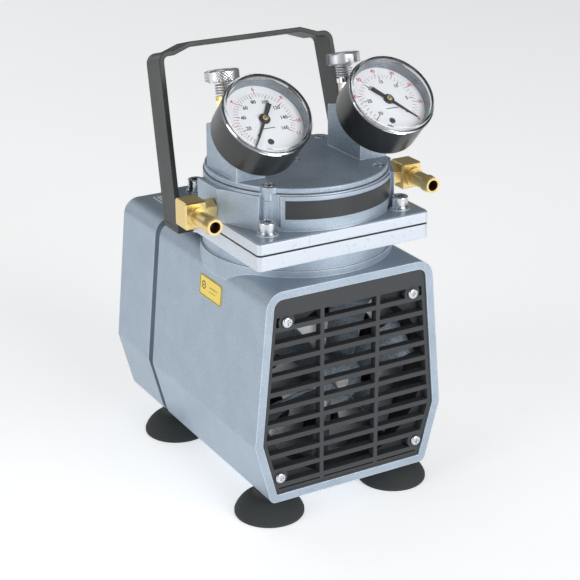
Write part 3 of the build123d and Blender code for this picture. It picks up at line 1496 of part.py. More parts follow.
with BuildPart() as cable_gland:
    with BuildSketch(front_plane(BACK_Y - REAR_WALL - 7)):
        with Locations((GLAND_X, INLET_Z)):
            Circle(GLAND_HOLE_R - 0.1)
    extrude(amount=-(REAR_WALL + 9))
    with BuildSketch(front_plane(BACK_Y - REAR_WALL - 5)):
        with Locations((GLAND_X, INLET_Z)):
            RegularPolygon(11, 6)
    extrude(amount=-4.9)
    with BuildSketch(front_plane(BACK_Y + 0.1)):
        with Locations((GLAND_X, INLET_Z)):
            RegularPolygon(11, 6)
    extrude(amount=-5)
    with BuildSketch(front_plane(BACK_Y + 5.1)):
        with Locations((GLAND_X, INLET_Z)):
            Circle(9.6)
    extrude(amount=-(OUTER_END_Y - BACK_Y - 5.1))
    fillet(cable_gland.faces().sort_by(Axis.Y)[-1].edges(), 3)
    with BuildSketch(front_plane(BACK_Y - REAR_WALL - 8)):
        with Locations((GLAND_X, INLET_Z)):
            Circle(GLAND_BORE_R)
    extrude(amount=-60, mode=Mode.SUBTRACT)
finish(cable_gland.part, "cable_gland")
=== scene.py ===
"""Looks of a bench diaphragm vacuum pump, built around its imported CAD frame.

The file is laid out as an add-on and run as a script. All sizes are in metres.
"""

import functools
import json
import math

import bmesh
import bpy
from bpy.props import FloatProperty, FloatVectorProperty, IntProperty, PointerProperty
from mathutils import Matrix, Vector


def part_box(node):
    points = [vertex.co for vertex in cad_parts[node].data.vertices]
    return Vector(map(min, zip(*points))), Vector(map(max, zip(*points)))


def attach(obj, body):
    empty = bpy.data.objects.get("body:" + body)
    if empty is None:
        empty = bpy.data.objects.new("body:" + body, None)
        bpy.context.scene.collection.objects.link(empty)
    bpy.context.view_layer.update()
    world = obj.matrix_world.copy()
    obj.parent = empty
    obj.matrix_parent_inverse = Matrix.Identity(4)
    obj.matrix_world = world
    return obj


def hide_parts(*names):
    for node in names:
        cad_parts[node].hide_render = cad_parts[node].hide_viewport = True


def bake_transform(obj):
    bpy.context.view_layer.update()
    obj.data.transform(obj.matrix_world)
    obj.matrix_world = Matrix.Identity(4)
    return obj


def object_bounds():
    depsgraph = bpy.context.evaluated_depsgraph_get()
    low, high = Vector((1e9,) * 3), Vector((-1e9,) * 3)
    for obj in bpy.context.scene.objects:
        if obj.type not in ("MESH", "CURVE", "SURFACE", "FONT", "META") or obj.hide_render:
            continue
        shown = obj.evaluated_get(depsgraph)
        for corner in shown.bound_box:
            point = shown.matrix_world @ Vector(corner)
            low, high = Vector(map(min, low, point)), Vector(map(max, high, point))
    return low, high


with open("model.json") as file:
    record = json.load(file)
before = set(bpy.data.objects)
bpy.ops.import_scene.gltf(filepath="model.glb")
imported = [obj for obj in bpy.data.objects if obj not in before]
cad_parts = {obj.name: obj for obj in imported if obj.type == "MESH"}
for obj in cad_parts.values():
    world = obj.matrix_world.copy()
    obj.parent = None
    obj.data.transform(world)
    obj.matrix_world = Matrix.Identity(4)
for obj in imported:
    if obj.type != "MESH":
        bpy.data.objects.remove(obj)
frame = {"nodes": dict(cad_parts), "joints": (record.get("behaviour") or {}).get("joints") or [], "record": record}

bl_info = {
    "name": "Diaphragm Pump Looks",
    "version": (1, 0, 0),
    "blender": (4, 5, 0),
    "location": "View3D > Sidebar > Pump",
    "description": "Builds the finished pieces and materials of a bench diaphragm pump",
    "category": "Object",
}

CAD_LOW, CAD_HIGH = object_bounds()
NODES = frame["nodes"]
JOINTS = {joint["name"]: joint for joint in frame["joints"]}
MM = 0.001
SIDES = ("pressure", "vacuum")

# Distances along a gauge's normal from the back of its pointer.
DIAL_FACE = -0.4 * MM
CASE_FRONT = 4.7 * MM
PRINT_T = 0.04 * MM
# Middle line of both scales, and the pointers' direction at rest in degrees from dial right.
SCALE_R = 17.6 * MM
DIAL_ZERO = {"pressure": 234, "vacuum": -48}
# Each dial's black inner scale and red outer scale. share is the part of the sweep it fills.
DIALS = {
    "pressure": (
        {"values": (0, 20, 40, 60, 80, 100, 120, 140, 160), "every": 4, "share": 1.0,
         "radius": 12.9 * MM, "size": 3.3 * MM},
        {"values": (0, 2, 4, 6, 8, 10, 11), "every": 0.25, "share": 0.9975,
         "radius": 21.7 * MM, "size": 3.3 * MM},
    ),
    "vacuum": (
        {"values": (0, 5, 10, 15, 20, 25, 30), "every": 1, "share": 1.0,
         "radius": 13.2 * MM, "size": 3.3 * MM},
        {"values": (0, 10, 20, 30, 40, 50, 60, 70, 76), "every": 2, "share": 0.9974,
         "radius": 21.7 * MM, "size": 3.3 * MM},
    ),
}
# The plug over each dial's adjusting screw: its direction in degrees and its distance out.
PLUG_TURN = {"pressure": 262, "vacuum": 254}
PLUG_R = 15.4 * MM
# The short rule below each dial's middle, and the pointer's top, where its hub stands.
RULE_DROP = 6.2 * MM
HUB_BASE = 1.62 * MM
# Distances along a relief valve's stem from its seat in the tower.
STEM_LOW = 15.1 * MM
KNOB_LOW = 23.0 * MM
WASHER_LOW = 22.35 * MM
# Radii of the spring and of its wire, of the thread's crests and of the knob's knurled band.
SPRING_R = 4.6 * MM
SPRING_WIRE = 0.55 * MM
THREAD_R = 2.18 * MM
KNURL_R = 9.58 * MM
# The trimmed rims of the two clamping plates lie between these heights.
PLATES_LOW = 0.1636
PLATES_HIGH = 0.1806


# ---------------------------------------------------------------- settings


def length_setting(name, description, default):
    """A size that a user can change."""
    return FloatProperty(
        name=name, description=description, default=default, unit="LENGTH", precision=5
    )


def colour_setting(name, description, default):
    """A colour that a user can change."""
    return FloatVectorProperty(
        name=name, description=description, default=default, subtype="COLOR", size=3, min=0, max=1
    )


class PumpSizes(bpy.types.PropertyGroup):
    """Sizes of the details that stand on the CAD frame."""

    knurl_columns: IntProperty(
        name="Knurl columns", description="Diamonds around each knob", default=36, min=12
    )
    knurl_rows: IntProperty(
        name="Knurl rows", description="Rows of diamonds up each knob", default=7, min=3
    )
    knurl_depth: length_setting("Knurl depth", "Height of each diamond", 0.8 * MM)
    spring_turns: IntProperty(
        name="Spring turns", description="Coils in each valve spring", default=4, min=2
    )
    thread_pitch: length_setting(
        "Thread pitch", "Distance between two crests of a screw thread", 1.0 * MM
    )
    dial_sweep: FloatProperty(
        name="Dial sweep", description="Angle between the ends of a dial's scale",
        default=math.radians(270), subtype="ANGLE",
    )
    edge_radius: length_setting(
        "Edge radius", "Rounding that catches the light along a casting's edges", 0.7 * MM
    )


class PumpColours(bpy.types.PropertyGroup):
    """Colours that a user would change."""

    paint_light: colour_setting(
        "Paint, light", "Light part of the metallic paint", (0.44, 0.52, 0.61)
    )
    paint_dark: colour_setting(
        "Paint, dark", "Dark grain of the metallic paint", (0.30, 0.37, 0.45)
    )
    brass: colour_setting("Brass", "Brass of the fittings", (0.98, 0.75, 0.34))
    label: colour_setting("Side label", "Film of the side label", (0.93, 0.70, 0.09))
    scale_red: colour_setting("Second scale", "Ink of each dial's outer scale", (0.70, 0.03, 0.05))


# ---------------------------------------------------------------- node helpers


def add(tree, kind, inputs=None, **settings):
    """Adds a node, sets or links its inputs, and returns it."""
    made = tree.nodes.new(kind)
    for name, value in settings.items():
        setattr(made, name, value)
    for key, value in (inputs or {}).items():
        if isinstance(value, bpy.types.NodeSocket):
            tree.links.new(value, made.inputs[key])
        else:
            made.inputs[key].default_value = value
    return made


def calc(tree, operation, *values, clamp=False):
    """Adds a Math node and returns its result."""
    inputs = dict(enumerate(values))
    return add(tree, "ShaderNodeMath", inputs, operation=operation, use_clamp=clamp).outputs[0]


def blend_colours(tree, share, first, second):
    """Adds a colour Mix node and returns its result."""
    inputs = {"Factor": share, 6: first, 7: second}
    return add(tree, "ShaderNodeMix", inputs, data_type="RGBA").outputs[2]


def noise_at(tree, place, scale, detail, **more):
    """Adds a Noise Texture at a place and returns its value."""
    inputs = {"Vector": place, "Scale": scale, "Detail": detail, **more}
    return add(tree, "ShaderNodeTexNoise", inputs).outputs[0]


def object_place(tree):
    """Object coordinates of the surface."""
    return tree.nodes.new("ShaderNodeTexCoord").outputs["Object"]


def new_group(name, kind, inputs, outputs):
    """Starts a node group and returns it with its input sockets and its output node."""
    tree = bpy.data.node_groups.new(name, kind)
    for label, holds in inputs:
        tree.interface.new_socket(label, in_out="INPUT", socket_type=f"NodeSocket{holds}")
    for label, holds in outputs:
        tree.interface.new_socket(label, in_out="OUTPUT", socket_type=f"NodeSocket{holds}")
    return tree, tree.nodes.new("NodeGroupInput").outputs, tree.nodes.new("NodeGroupOutput")


@functools.cache
def grain_group():
    """Two sizes of noise that give a cast or moulded surface its colour, gloss and relief."""
    tree, given, result = new_group(
        "surface_grain", "ShaderNodeTree",
        [("Light", "Color"), ("Dark", "Color"), ("Grain Scale", "Float"),
         ("Mottle Scale", "Float"), ("Stretch", "Vector"), ("Roughness Low", "Float"),
         ("Roughness High", "Float")],
        [("Colour", "Color"), ("Roughness", "Float"), ("Height", "Float")],
    )
    stretched = add(
        tree, "ShaderNodeVectorMath", {0: object_place(tree), 1: given["Stretch"]},
        operation="MULTIPLY",
    ).outputs[0]
    fine = noise_at(tree, stretched, given["Grain Scale"], 3.0, Roughness=0.6)
    broad = noise_at(tree, stretched, given["Mottle Scale"], 4.0, Roughness=0.65)
    fine_part = calc(tree, "MULTIPLY", fine, 0.65)
    both = calc(tree, "ADD", fine_part, calc(tree, "MULTIPLY", broad, 0.35))
    share = add(
        tree, "ShaderNodeMapRange", {"Value": both, "From Min": 0.36, "From Max": 0.64}
    ).outputs[0]
    rough = add(
        tree, "ShaderNodeMapRange",
        {"Value": broad, "From Min": 0.3, "From Max": 0.7,
         "To Min": given["Roughness Low"], "To Max": given["Roughness High"]},
    ).outputs[0]
    colour = blend_colours(tree, share, given["Dark"], given["Light"])
    tree.links.new(colour, result.inputs["Colour"])
    tree.links.new(rough, result.inputs["Roughness"])
    tree.links.new(fine, result.inputs["Height"])
    return tree


@functools.cache
def edge_group():
    """Rounds the edges in the shading and masks where they are, broken up by noise; the mask lays painted
    highlights along the edges.
    """
    tree, given, result = new_group(
        "edge_highlight_and_wear", "ShaderNodeTree",
        [("Radius", "Float"), ("Amount", "Float")],
        [("Mask", "Float"), ("Normal", "Vector")],
    )
    rounded = add(tree, "ShaderNodeBevel", {"Radius": given["Radius"]}, samples=6).outputs[0]
    facing = tree.nodes.new("ShaderNodeNewGeometry").outputs["Normal"]
    match = add(
        tree, "ShaderNodeVectorMath", {0: rounded, 1: facing}, operation="DOT_PRODUCT"
    ).outputs["Value"]
    noise = noise_at(tree, object_place(tree), 900.0, 3.0)
    bend = calc(tree, "MULTIPLY", calc(tree, "SUBTRACT", 1.0, match), 16.0, clamp=True)
    broken = calc(tree, "MULTIPLY", bend, calc(tree, "ADD", noise, 0.35), clamp=True)
    mask = calc(tree, "MULTIPLY", broken, given["Amount"], clamp=True)
    tree.links.new(mask, result.inputs["Mask"])
    tree.links.new(rounded, result.inputs["Normal"])
    return tree


def group_in(tree, group, inputs):
    """Places a shader group, then sets the values of its inputs."""
    made = add(tree, "ShaderNodeGroup", node_tree=group)
    for key, value in inputs.items():
        made.inputs[key].default_value = value
    return made


def surface(
    name, light, dark, metallic, roughness, grain=1500.0, mottle=90.0, bump=0.0,
    bump_height=0.1 * MM, edge=None, edge_radius=0.4 * MM, edge_amount=0.0,
    stretch=(1, 1, 1), coat=0.0, tint=None,
):
    """A material with grain, edges blended towards an edge colour, and relief. A lighter edge colour paints a
    highlight along the edges. tint(tree, colour) may change its colour.
    """
    if name in bpy.data.materials:
        return bpy.data.materials[name]
    material = bpy.data.materials.new(name)
    material.use_nodes = True
    tree = material.node_tree
    shader = tree.nodes["Principled BSDF"]
    low, high = roughness
    coarse = group_in(tree, grain_group(), {
        "Light": (*light, 1), "Dark": (*dark, 1), "Grain Scale": grain, "Mottle Scale": mottle,
        "Stretch": stretch, "Roughness Low": low, "Roughness High": high,
    })
    edges_lit_and_worn = group_in(tree, edge_group(), {"Radius": edge_radius, "Amount": edge_amount})
    colour = coarse.outputs["Colour"]
    if tint:
        colour = tint(tree, colour)
    # Painted highlight: the edge mask blends the colour towards the edge colour, which is lighter on most
    # finishes.
    colour = blend_colours(tree, edges_lit_and_worn.outputs["Mask"], colour, (*(edge or light), 1))
    tree.links.new(colour, shader.inputs["Base Color"])
    tree.links.new(coarse.outputs["Roughness"], shader.inputs["Roughness"])
    relief = add(
        tree, "ShaderNodeBump",
        {"Strength": bump, "Distance": bump_height, "Height": coarse.outputs["Height"],
         "Normal": edges_lit_and_worn.outputs["Normal"]},
    )
    tree.links.new(relief.outputs[0], shader.inputs["Normal"])
    shader.inputs["Metallic"].default_value = metallic
    shader.inputs["Coat Weight"].default_value = coat
    shader.inputs["Coat Roughness"].default_value = 0.12
    return material


# ---------------------------------------------------------------- finishes


# In the finishes below, an edge colour lighter than the finish's own colour is a painted highlight along the
# edges.
def plate_edges(tree, colour):
    """Lightens the trimmed rims of the two clamping plates."""
    place = object_place(tree)
    height = add(tree, "ShaderNodeSeparateXYZ", {0: place}).outputs["Z"]
    normal = tree.nodes.new("ShaderNodeNewGeometry").outputs["Normal"]
    facing = add(tree, "ShaderNodeSeparateXYZ", {0: normal}).outputs["Z"]
    above = calc(tree, "GREATER_THAN", height, PLATES_LOW)
    below = calc(tree, "LESS_THAN", height, PLATES_HIGH)
    upright = calc(tree, "LESS_THAN", calc(tree, "ABSOLUTE", facing), 0.5)
    share = calc(tree, "MULTIPLY", calc(tree, "MULTIPLY", above, below), upright)
    fleck = calc(tree, "GREATER_THAN", noise_at(tree, place, 420.0, 2.0), 0.66)
    trimmed = blend_colours(tree, fleck, (0.66, 0.71, 0.77, 1), (0.57, 0.62, 0.69, 1))
    return blend_colours(tree, calc(tree, "MULTIPLY", share, 0.85), colour, trimmed)


def cast_paint():
    """Blue-grey metallic paint over fine cast grain."""
    colours = bpy.context.scene.pump_colours
    return surface(
        "cast_paint", colours.paint_light, colours.paint_dark, 0.4, (0.36, 0.5),
        grain=1300.0, mottle=55.0, bump=0.35, bump_height=0.12 * MM,
        edge=(0.82, 0.87, 0.93), edge_radius=bpy.context.scene.pump_sizes.edge_radius,
        edge_amount=1.0, tint=plate_edges,
    )


def smooth_paint():
    """The same paint on the smoother rear cover."""
    colours = bpy.context.scene.pump_colours
    return surface(
        "smooth_paint", colours.paint_light, colours.paint_dark, 0.4, (0.36, 0.46),
        grain=2200.0, mottle=40.0, bump=0.12, bump_height=0.08 * MM,
        edge=(0.78, 0.83, 0.9), edge_radius=0.8 * MM, edge_amount=0.8,
    )


def stippled_paint():
    """Paint on the cap, whose top has a coarse stipple."""
    colours = bpy.context.scene.pump_colours
    return surface(
        "stippled_paint", colours.paint_light, colours.paint_dark, 0.4, (0.34, 0.52),
        grain=750.0, mottle=60.0, bump=0.6, bump_height=0.2 * MM,
        edge=(0.85, 0.9, 0.95), edge_radius=0.8 * MM, edge_amount=1.0,
    )


def bare_aluminium():
    """Cast and machined aluminium."""
    return surface(
        "bare_aluminium", (0.66, 0.72, 0.78), (0.42, 0.48, 0.54), 0.85, (0.28, 0.45),
        grain=900.0, mottle=70.0, bump=0.2, edge=(0.85, 0.88, 0.9), edge_amount=0.5,
    )


def fan_metal():
    """Dull cast metal of the fan, near black."""
    return surface(
        "fan_metal", (0.24, 0.29, 0.34), (0.08, 0.10, 0.12), 0.6, (0.3, 0.5),
        grain=900.0, mottle=60.0, bump=0.2, edge=(0.5, 0.58, 0.66), edge_amount=0.6,
    )


def shroud_plastic():
    """Black moulding behind the grille, darkened further as painted shade seen through the gaps between the slats.
    """
    return surface(
        "shroud_plastic", (0.02, 0.022, 0.024), (0.01, 0.011, 0.012), 0.0, (0.55, 0.7),
        grain=1800.0, mottle=80.0, bump=0.15, edge=(0.05, 0.05, 0.05),
    )


def gauge_liner():
    """Slate grey ring between dial and crystal."""
    return surface(
        "gauge_liner", (0.24, 0.27, 0.29), (0.15, 0.17, 0.19), 0.5, (0.25, 0.38),
        grain=2400.0, mottle=120.0, bump=0.05, edge=(0.4, 0.42, 0.44), edge_radius=0.2 * MM,
    )


def black_plastic():
    """Moulded black plastic with a painted highlight along its corners."""
    return surface(
        "black_plastic", (0.036, 0.041, 0.042), (0.018, 0.021, 0.022), 0.0, (0.34, 0.5),
        grain=2600.0, mottle=80.0, bump=0.15, bump_height=0.06 * MM,
        edge=(0.16, 0.17, 0.17), edge_radius=0.5 * MM, edge_amount=0.7,
    )


def rubber():
    """Matt black rubber, faintly mottled, with a faint painted highlight along its edges."""
    return surface(
        "black_rubber", (0.024, 0.027, 0.026), (0.009, 0.010, 0.010), 0.0, (0.36, 0.6),
        grain=1200.0, mottle=60.0, bump=0.25, edge=(0.09, 0.1, 0.1), edge_amount=0.4,
    )


def case_enamel():
    """Satin black enamel of the gauge cases."""
    return surface(
        "case_enamel", (0.018, 0.021, 0.021), (0.008, 0.010, 0.010), 0.0, (0.24, 0.36),
        grain=3000.0, mottle=60.0, bump=0.06, bump_height=0.05 * MM,
        edge=(0.12, 0.12, 0.12), edge_radius=0.35 * MM, edge_amount=0.5, coat=0.15,
    )


def handle_coating():
    """Charcoal coating of the steel strap, black along its edges."""
    return surface(
        "handle_coating", (0.05, 0.054, 0.054), (0.03, 0.033, 0.033), 0.1, (0.36, 0.5),
        grain=2400.0, mottle=50.0, bump=0.12, edge=(0.02, 0.02, 0.02),
        edge_radius=0.9 * MM, edge_amount=0.8,
    )


def zinc():
    """Bright zinc plate on the fasteners."""
    return surface(
        "zinc_plate", (0.76, 0.78, 0.80), (0.46, 0.50, 0.54), 1.0, (0.16, 0.32),
        grain=1800.0, mottle=260.0, bump=0.12, bump_height=0.05 * MM,
        edge=(0.95, 0.96, 0.97), edge_radius=0.35 * MM, edge_amount=0.6,
    )


def bright_steel():
    """Ground steel of shafts, springs and washers."""
    return surface(
        "bright_steel", (0.8, 0.81, 0.83), (0.5, 0.52, 0.55), 1.0, (0.14, 0.28),
        grain=1500.0, mottle=300.0, bump=0.08, edge=(0.95, 0.95, 0.95),
        edge_radius=0.3 * MM, edge_amount=0.4,
    )


def core_steel():
    """Stacked steel sheets, with fine lines across the stack."""
    return surface(
        "core_steel", (0.36, 0.36, 0.37), (0.12, 0.12, 0.13), 0.9, (0.35, 0.55),
        grain=500.0, mottle=80.0, bump=0.5, stretch=(0.15, 5.0, 0.15), edge=(0.5, 0.5, 0.52),
    )


def copper_wire():
    """Enamelled copper of the windings."""
    return surface(
        "copper_wire", (0.62, 0.24, 0.08), (0.3, 0.1, 0.03), 0.9, (0.24, 0.4),
        grain=700.0, mottle=120.0, bump=0.5, stretch=(1.0, 4.0, 1.0), edge=(0.8, 0.42, 0.2),
    )


def brass():
    """Machined brass with faint tool marks."""
    base = Vector(bpy.context.scene.pump_colours.brass)
    return surface(
        "brass", base, base * 0.62, 1.0, (0.2, 0.36),
        grain=900.0, mottle=220.0, bump=0.22, bump_height=0.06 * MM, stretch=(1.0, 0.25, 1.6),
        edge=(0.98, 0.82, 0.45), edge_radius=0.4 * MM, edge_amount=0.8,
    )


def dark_bore():
    """Tarnished inside of a brass passage, darkened further as painted shade deep in the bore."""
    return surface(
        "dark_bore", (0.13, 0.035, 0.02), (0.04, 0.012, 0.008), 0.3, (0.4, 0.6),
        grain=1400.0, mottle=300.0, bump=0.2, edge=(0.3, 0.15, 0.05),
    )


def chrome():
    """Bright plate on the knobs."""
    return surface(
        "chrome", (0.93, 0.94, 0.95), (0.72, 0.74, 0.77), 1.0, (0.08, 0.18),
        grain=2000.0, mottle=240.0, bump=0.04, edge=(1, 1, 1),
        edge_radius=0.2 * MM, edge_amount=0.5,
    )


def dial_white():
    """White enamel of the dials."""
    return surface(
        "dial_white", (0.84, 0.83, 0.85), (0.78, 0.77, 0.80), 0.0, (0.35, 0.5),
        grain=900.0, mottle=90.0, bump=0.03, edge=(0.8, 0.8, 0.8),
    )


def ink(name, colour):
    """Printed ink with slightly uneven cover."""
    base = Vector(colour)
    lighter = base * 0.85 + Vector((0.05, 0.05, 0.05))
    return surface(name, lighter, base, 0.0, (0.4, 0.55), grain=4000.0, mottle=700.0, bump=0.05)


def black_ink():
    """Ink of the inner scales and label borders."""
    return ink("black_ink", (0.012, 0.012, 0.014))


def red_ink():
    """Ink of the outer scales."""
    return ink("red_ink", bpy.context.scene.pump_colours.scale_red)


def satin_film():
    """Black satin film of the strip around the head."""
    return surface(
        "satin_film", (0.03, 0.031, 0.034), (0.018, 0.019, 0.021), 0.0, (0.3, 0.42),
        grain=2600.0, mottle=60.0, bump=0.05, edge=(0.2, 0.2, 0.2), edge_radius=0.2 * MM,
    )


def label_film():
    """Yellow printed film, a little uneven."""
    base = Vector(bpy.context.scene.pump_colours.label)
    return surface(
        "label_film", base, base * 0.86, 0.0, (0.32, 0.45),
        grain=1500.0, mottle=140.0, bump=0.05, edge=base * 0.8, coat=0.2,
    )


def plate_film():
    """White printed film of the rating plate."""
    return surface(
        "plate_film", (0.93, 0.93, 0.93), (0.84, 0.85, 0.86), 0.0, (0.3, 0.42),
        grain=1500.0, mottle=120.0, bump=0.04, coat=0.2,
    )


def crystal():
    """Clear moulded crystal that lets light fall on the dial."""
    if "crystal" in bpy.data.materials:
        return bpy.data.materials["crystal"]
    material = bpy.data.materials.new("crystal")
    material.use_nodes = True
    tree = material.node_tree
    shader = tree.nodes["Principled BSDF"]
    shader.inputs["Base Color"].default_value = (0.97, 0.985, 1.0, 1)
    shader.inputs["Transmission Weight"].default_value = 1.0
    shader.inputs["IOR"].default_value = 1.46
    smear = noise_at(tree, object_place(tree), 160.0, 3.0)
    rough = add(
        tree, "ShaderNodeMapRange",
        {"Value": smear, "From Min": 0.5, "From Max": 0.8, "To Min": 0.0, "To Max": 0.004},
    ).outputs[0]
    tree.links.new(rough, shader.inputs["Roughness"])
    clear = add(tree, "ShaderNodeBsdfTransparent", {"Color": (0.94, 0.95, 0.96, 1)})
    shadow = tree.nodes.new("ShaderNodeLightPath").outputs["Is Shadow Ray"]
    both = add(tree, "ShaderNodeMixShader", {0: shadow, 1: shader.outputs[0], 2: clear.outputs[0]})
    output = next(node for node in tree.nodes if node.type == "OUTPUT_MATERIAL")
    tree.links.new(both.outputs[0], output.inputs["Surface"])
    return material


# ---------------------------------------------------------------- mesh helpers


def dress(material, *names):
    """Gives CAD nodes a finish."""
    for name in names:
        mesh = NODES[name].data
        mesh.materials.clear()
        mesh.materials.append(material)


def put(name, data):
    """Adds an object to the scene."""
    made = bpy.data.objects.new(name, data)
    bpy.context.scene.collection.objects.link(made)
    return made


def show(mesh, name, body, replaces=()):
    """Puts a finished mesh in the scene and on its CAD body."""
    piece = put(name, mesh)
    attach(piece, body)
    if replaces:
        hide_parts(*replaces)
    return piece


def grow(tree, place, smooth=True, **inputs):
    """Runs a Geometry Nodes tree and returns its mesh, put in place."""
    seed = put("seed", bpy.data.meshes.new("seed"))
    modifier = seed.modifiers.new("grow", "NODES")
    modifier.node_group = tree
    by_name = {
        item.name: item.identifier
        for item in tree.interface.items_tree
        if item.item_type == "SOCKET" and item.in_out == "INPUT"
    }
    for label, value in inputs.items():
        modifier[by_name[label.replace("_", " ").capitalize()]] = value
    depsgraph = bpy.context.evaluated_depsgraph_get()
    mesh = bpy.data.meshes.new_from_object(seed.evaluated_get(depsgraph))
    bpy.data.objects.remove(seed)
    mesh.transform(place)
    for face in mesh.polygons:
        face.use_smooth = smooth
    return mesh


def joined(meshes, name):
    """One mesh made of several that share a material list of their own."""
    made = bmesh.new()
    materials = []
    for mesh in meshes:
        first = len(made.faces)
        made.from_mesh(mesh)
        made.faces.ensure_lookup_table()
        for face in made.faces[first:]:
            source = mesh.materials[face.material_index]
            if source not in materials:
                materials.append(source)
            face.material_index = materials.index(source)
    result = bpy.data.meshes.new(name)
    made.to_mesh(result)
    made.free()
    for material in materials:
        result.materials.append(material)
    return result


def mesh_of(made, name, material, place):
    """Turns a bmesh into a mesh with one material, put in place."""
    mesh = bpy.data.meshes.new(name)
    made.to_mesh(mesh)
    made.free()
    mesh.materials.append(material)
    mesh.transform(place)
    return mesh


def in_mm(points):
    """Outline points given in millimetres, as metres."""
    return [(first * MM, second * MM) for first, second in points]


def moved(outline, x, y):
    """Outline shifted on its plane."""
    return [(x + px, y + py) for px, py in outline]


def lathe(outline, material, place, name, segments=96, smooth_angle=28):
    """Turns a closed outline of (radius, height) points about the local Z axis."""
    made = bmesh.new()
    rings = []
    for radius, height in outline:
        if radius < 1e-9:
            rings.append([made.verts.new((0, 0, height))])
            continue
        ring = []
        for step in range(segments):
            angle = 2 * math.pi * step / segments
            spot = (radius * math.cos(angle), radius * math.sin(angle), height)
            ring.append(made.verts.new(spot))
        rings.append(ring)
    pairs = list(zip(rings, rings[1:]))
    if len(rings[0]) > 1:
        pairs.append((rings[-1], rings[0]))  # a hollow turning closes on itself
    for lower, upper in pairs:
        if len(lower) == 1 and len(upper) == 1:
            continue
        for step in range(segments):
            after = (step + 1) % segments
            corners = [lower[step % len(lower)], lower[after % len(lower)],
                       upper[after % len(upper)], upper[step % len(upper)]]
            made.faces.new(list(dict.fromkeys(corners)))
    bmesh.ops.recalc_face_normals(made, faces=made.faces)
    limit = math.radians(smooth_angle)
    for face in made.faces:
        face.smooth = True
    for edge in made.edges:
        edge.smooth = edge.calc_face_angle(0) < limit
    return mesh_of(made, name, material, place)


def slab(outline, thickness, material, place, name, hole=()):
    """A thin closed plate from a flat outline, with an optional hole of as many points."""
    made = bmesh.new()
    layers = []
    for height in (0, thickness):
        outer = [made.verts.new((x, y, height)) for x, y in outline]
        inner = [made.verts.new((x, y, height)) for x, y in hole]
        layers.append((outer, inner))
    (low_out, low_in), (top_out, top_in) = layers
    count = len(outline)
    for index in range(count):
        after = (index + 1) % count
        made.faces.new((low_out[index], low_out[after], top_out[after], top_out[index]))
        if hole:
            made.faces.new((top_in[index], top_in[after], low_in[after], low_in[index]))
            made.faces.new((top_out[index], top_out[after], top_in[after], top_in[index]))
            made.faces.new((low_in[index], low_in[after], low_out[after], low_out[index]))
    if not hole:
        made.faces.new(top_out)
        made.faces.new(low_out[::-1])
    bmesh.ops.recalc_face_normals(made, faces=made.faces)
    return mesh_of(made, name, material, place)


def rounded(width, height, corner, steps=6):
    """Outline of a rectangle with round corners, centred on the origin."""
    points = []
    for turn, (sx, sy) in enumerate(((1, 1), (-1, 1), (-1, -1), (1, -1))):
        for step in range(steps + 1):
            angle = math.pi / 2 * (turn + step / steps)
            points.append((
                sx * (width / 2 - corner) + corner * math.cos(angle),
                sy * (height / 2 - corner) + corner * math.sin(angle),
            ))
    return points


def circle(radius, x=0.0, y=0.0, count=40):
    """Outline of a circle."""
    turns = [2 * math.pi * step / count for step in range(count)]
    return [(x + radius * math.cos(a), y + radius * math.sin(a)) for a in turns]


def written(text, size, thickness, material, x, y, place):
    """Numerals as a thin closed mesh centred on a point of the local XY plane."""
    curve = bpy.data.curves.new("numeral", "FONT")
    curve.body = text
    curve.size = size
    curve.extrude = thickness / 2
    curve.offset = 0.028 * size
    curve.align_x = "CENTER"
    curve.align_y = "CENTER"
    curve.resolution_u = 3
    holder = put("numeral", curve)
    depsgraph = bpy.context.evaluated_depsgraph_get()
    mesh = bpy.data.meshes.new_from_object(holder.evaluated_get(depsgraph))
    bpy.data.objects.remove(holder)
    mesh.materials.clear()
    mesh.materials.append(material)
    mesh.transform(place @ Matrix.Translation((x, y, thickness / 2)))
    return mesh


def frame_at(origin, normal, right):
    """Placement whose Z is the normal and whose X is as near right as it can be."""
    z = Vector(normal).normalized()
    x = (Vector(right) - Vector(right).dot(z) * z).normalized()
    y = z.cross(x)
    place = Matrix((x, y, z)).transposed().to_4x4()
    place.translation = Vector(origin)
    return place


def gauge_place(side):
    """Placement on a gauge's pointer axis, facing out of the dial."""
    joint = JOINTS[f"{side}_pointer_sweep"]
    normal = Vector(joint["axis"])
    if normal.z < 0:
        normal = -normal
    return frame_at(joint["pos_m"], normal, (1, 0, 0))


def valve_place(side):
    """Placement on a relief valve's stem axis, with its origin at the seat."""
    joint = JOINTS[f"{side}_knob_turn"]
    axis = Vector(joint["axis"])
    seat = Vector(joint["pos_m"]) - axis * KNOB_LOW
    return frame_at(seat, axis, (1, 0, 0))


def face_place(node, outward, right):
    """Placement on the largest flat face of a CAD node that looks outward."""
    mesh = NODES[node].data
    outward = Vector(outward)
    largest = max(mesh.polygons, key=lambda face: face.area * max(0, face.normal.dot(outward)))
    normal = largest.normal
    low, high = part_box(node)
    level = max(vertex.co.dot(normal) for vertex in mesh.vertices)
    centre = (low + high) / 2
    return frame_at(centre + normal * (level - centre.dot(normal)), normal, right)


# ---------------------------------------------------------------- geometry trees


def close_tree(tree, geometry, result, material):
    """Ends a tree with real geometry and its material."""
    real = add(tree, "GeometryNodeRealizeInstances", {0: geometry}).outputs[0]
    painted = add(tree, "GeometryNodeSetMaterial", {"Geometry": real, "Material": material})
    tree.links.new(painted.outputs[0], result.inputs[0])
    return tree


def polar(tree, angle, radius, height=0.0):
    """Point at an angle and radius about the Z axis."""
    x = calc(tree, "MULTIPLY", calc(tree, "COSINE", angle), radius)
    y = calc(tree, "MULTIPLY", calc(tree, "SINE", angle), radius)
    return add(tree, "ShaderNodeCombineXYZ", {0: x, 1: y, 2: height}).outputs[0]


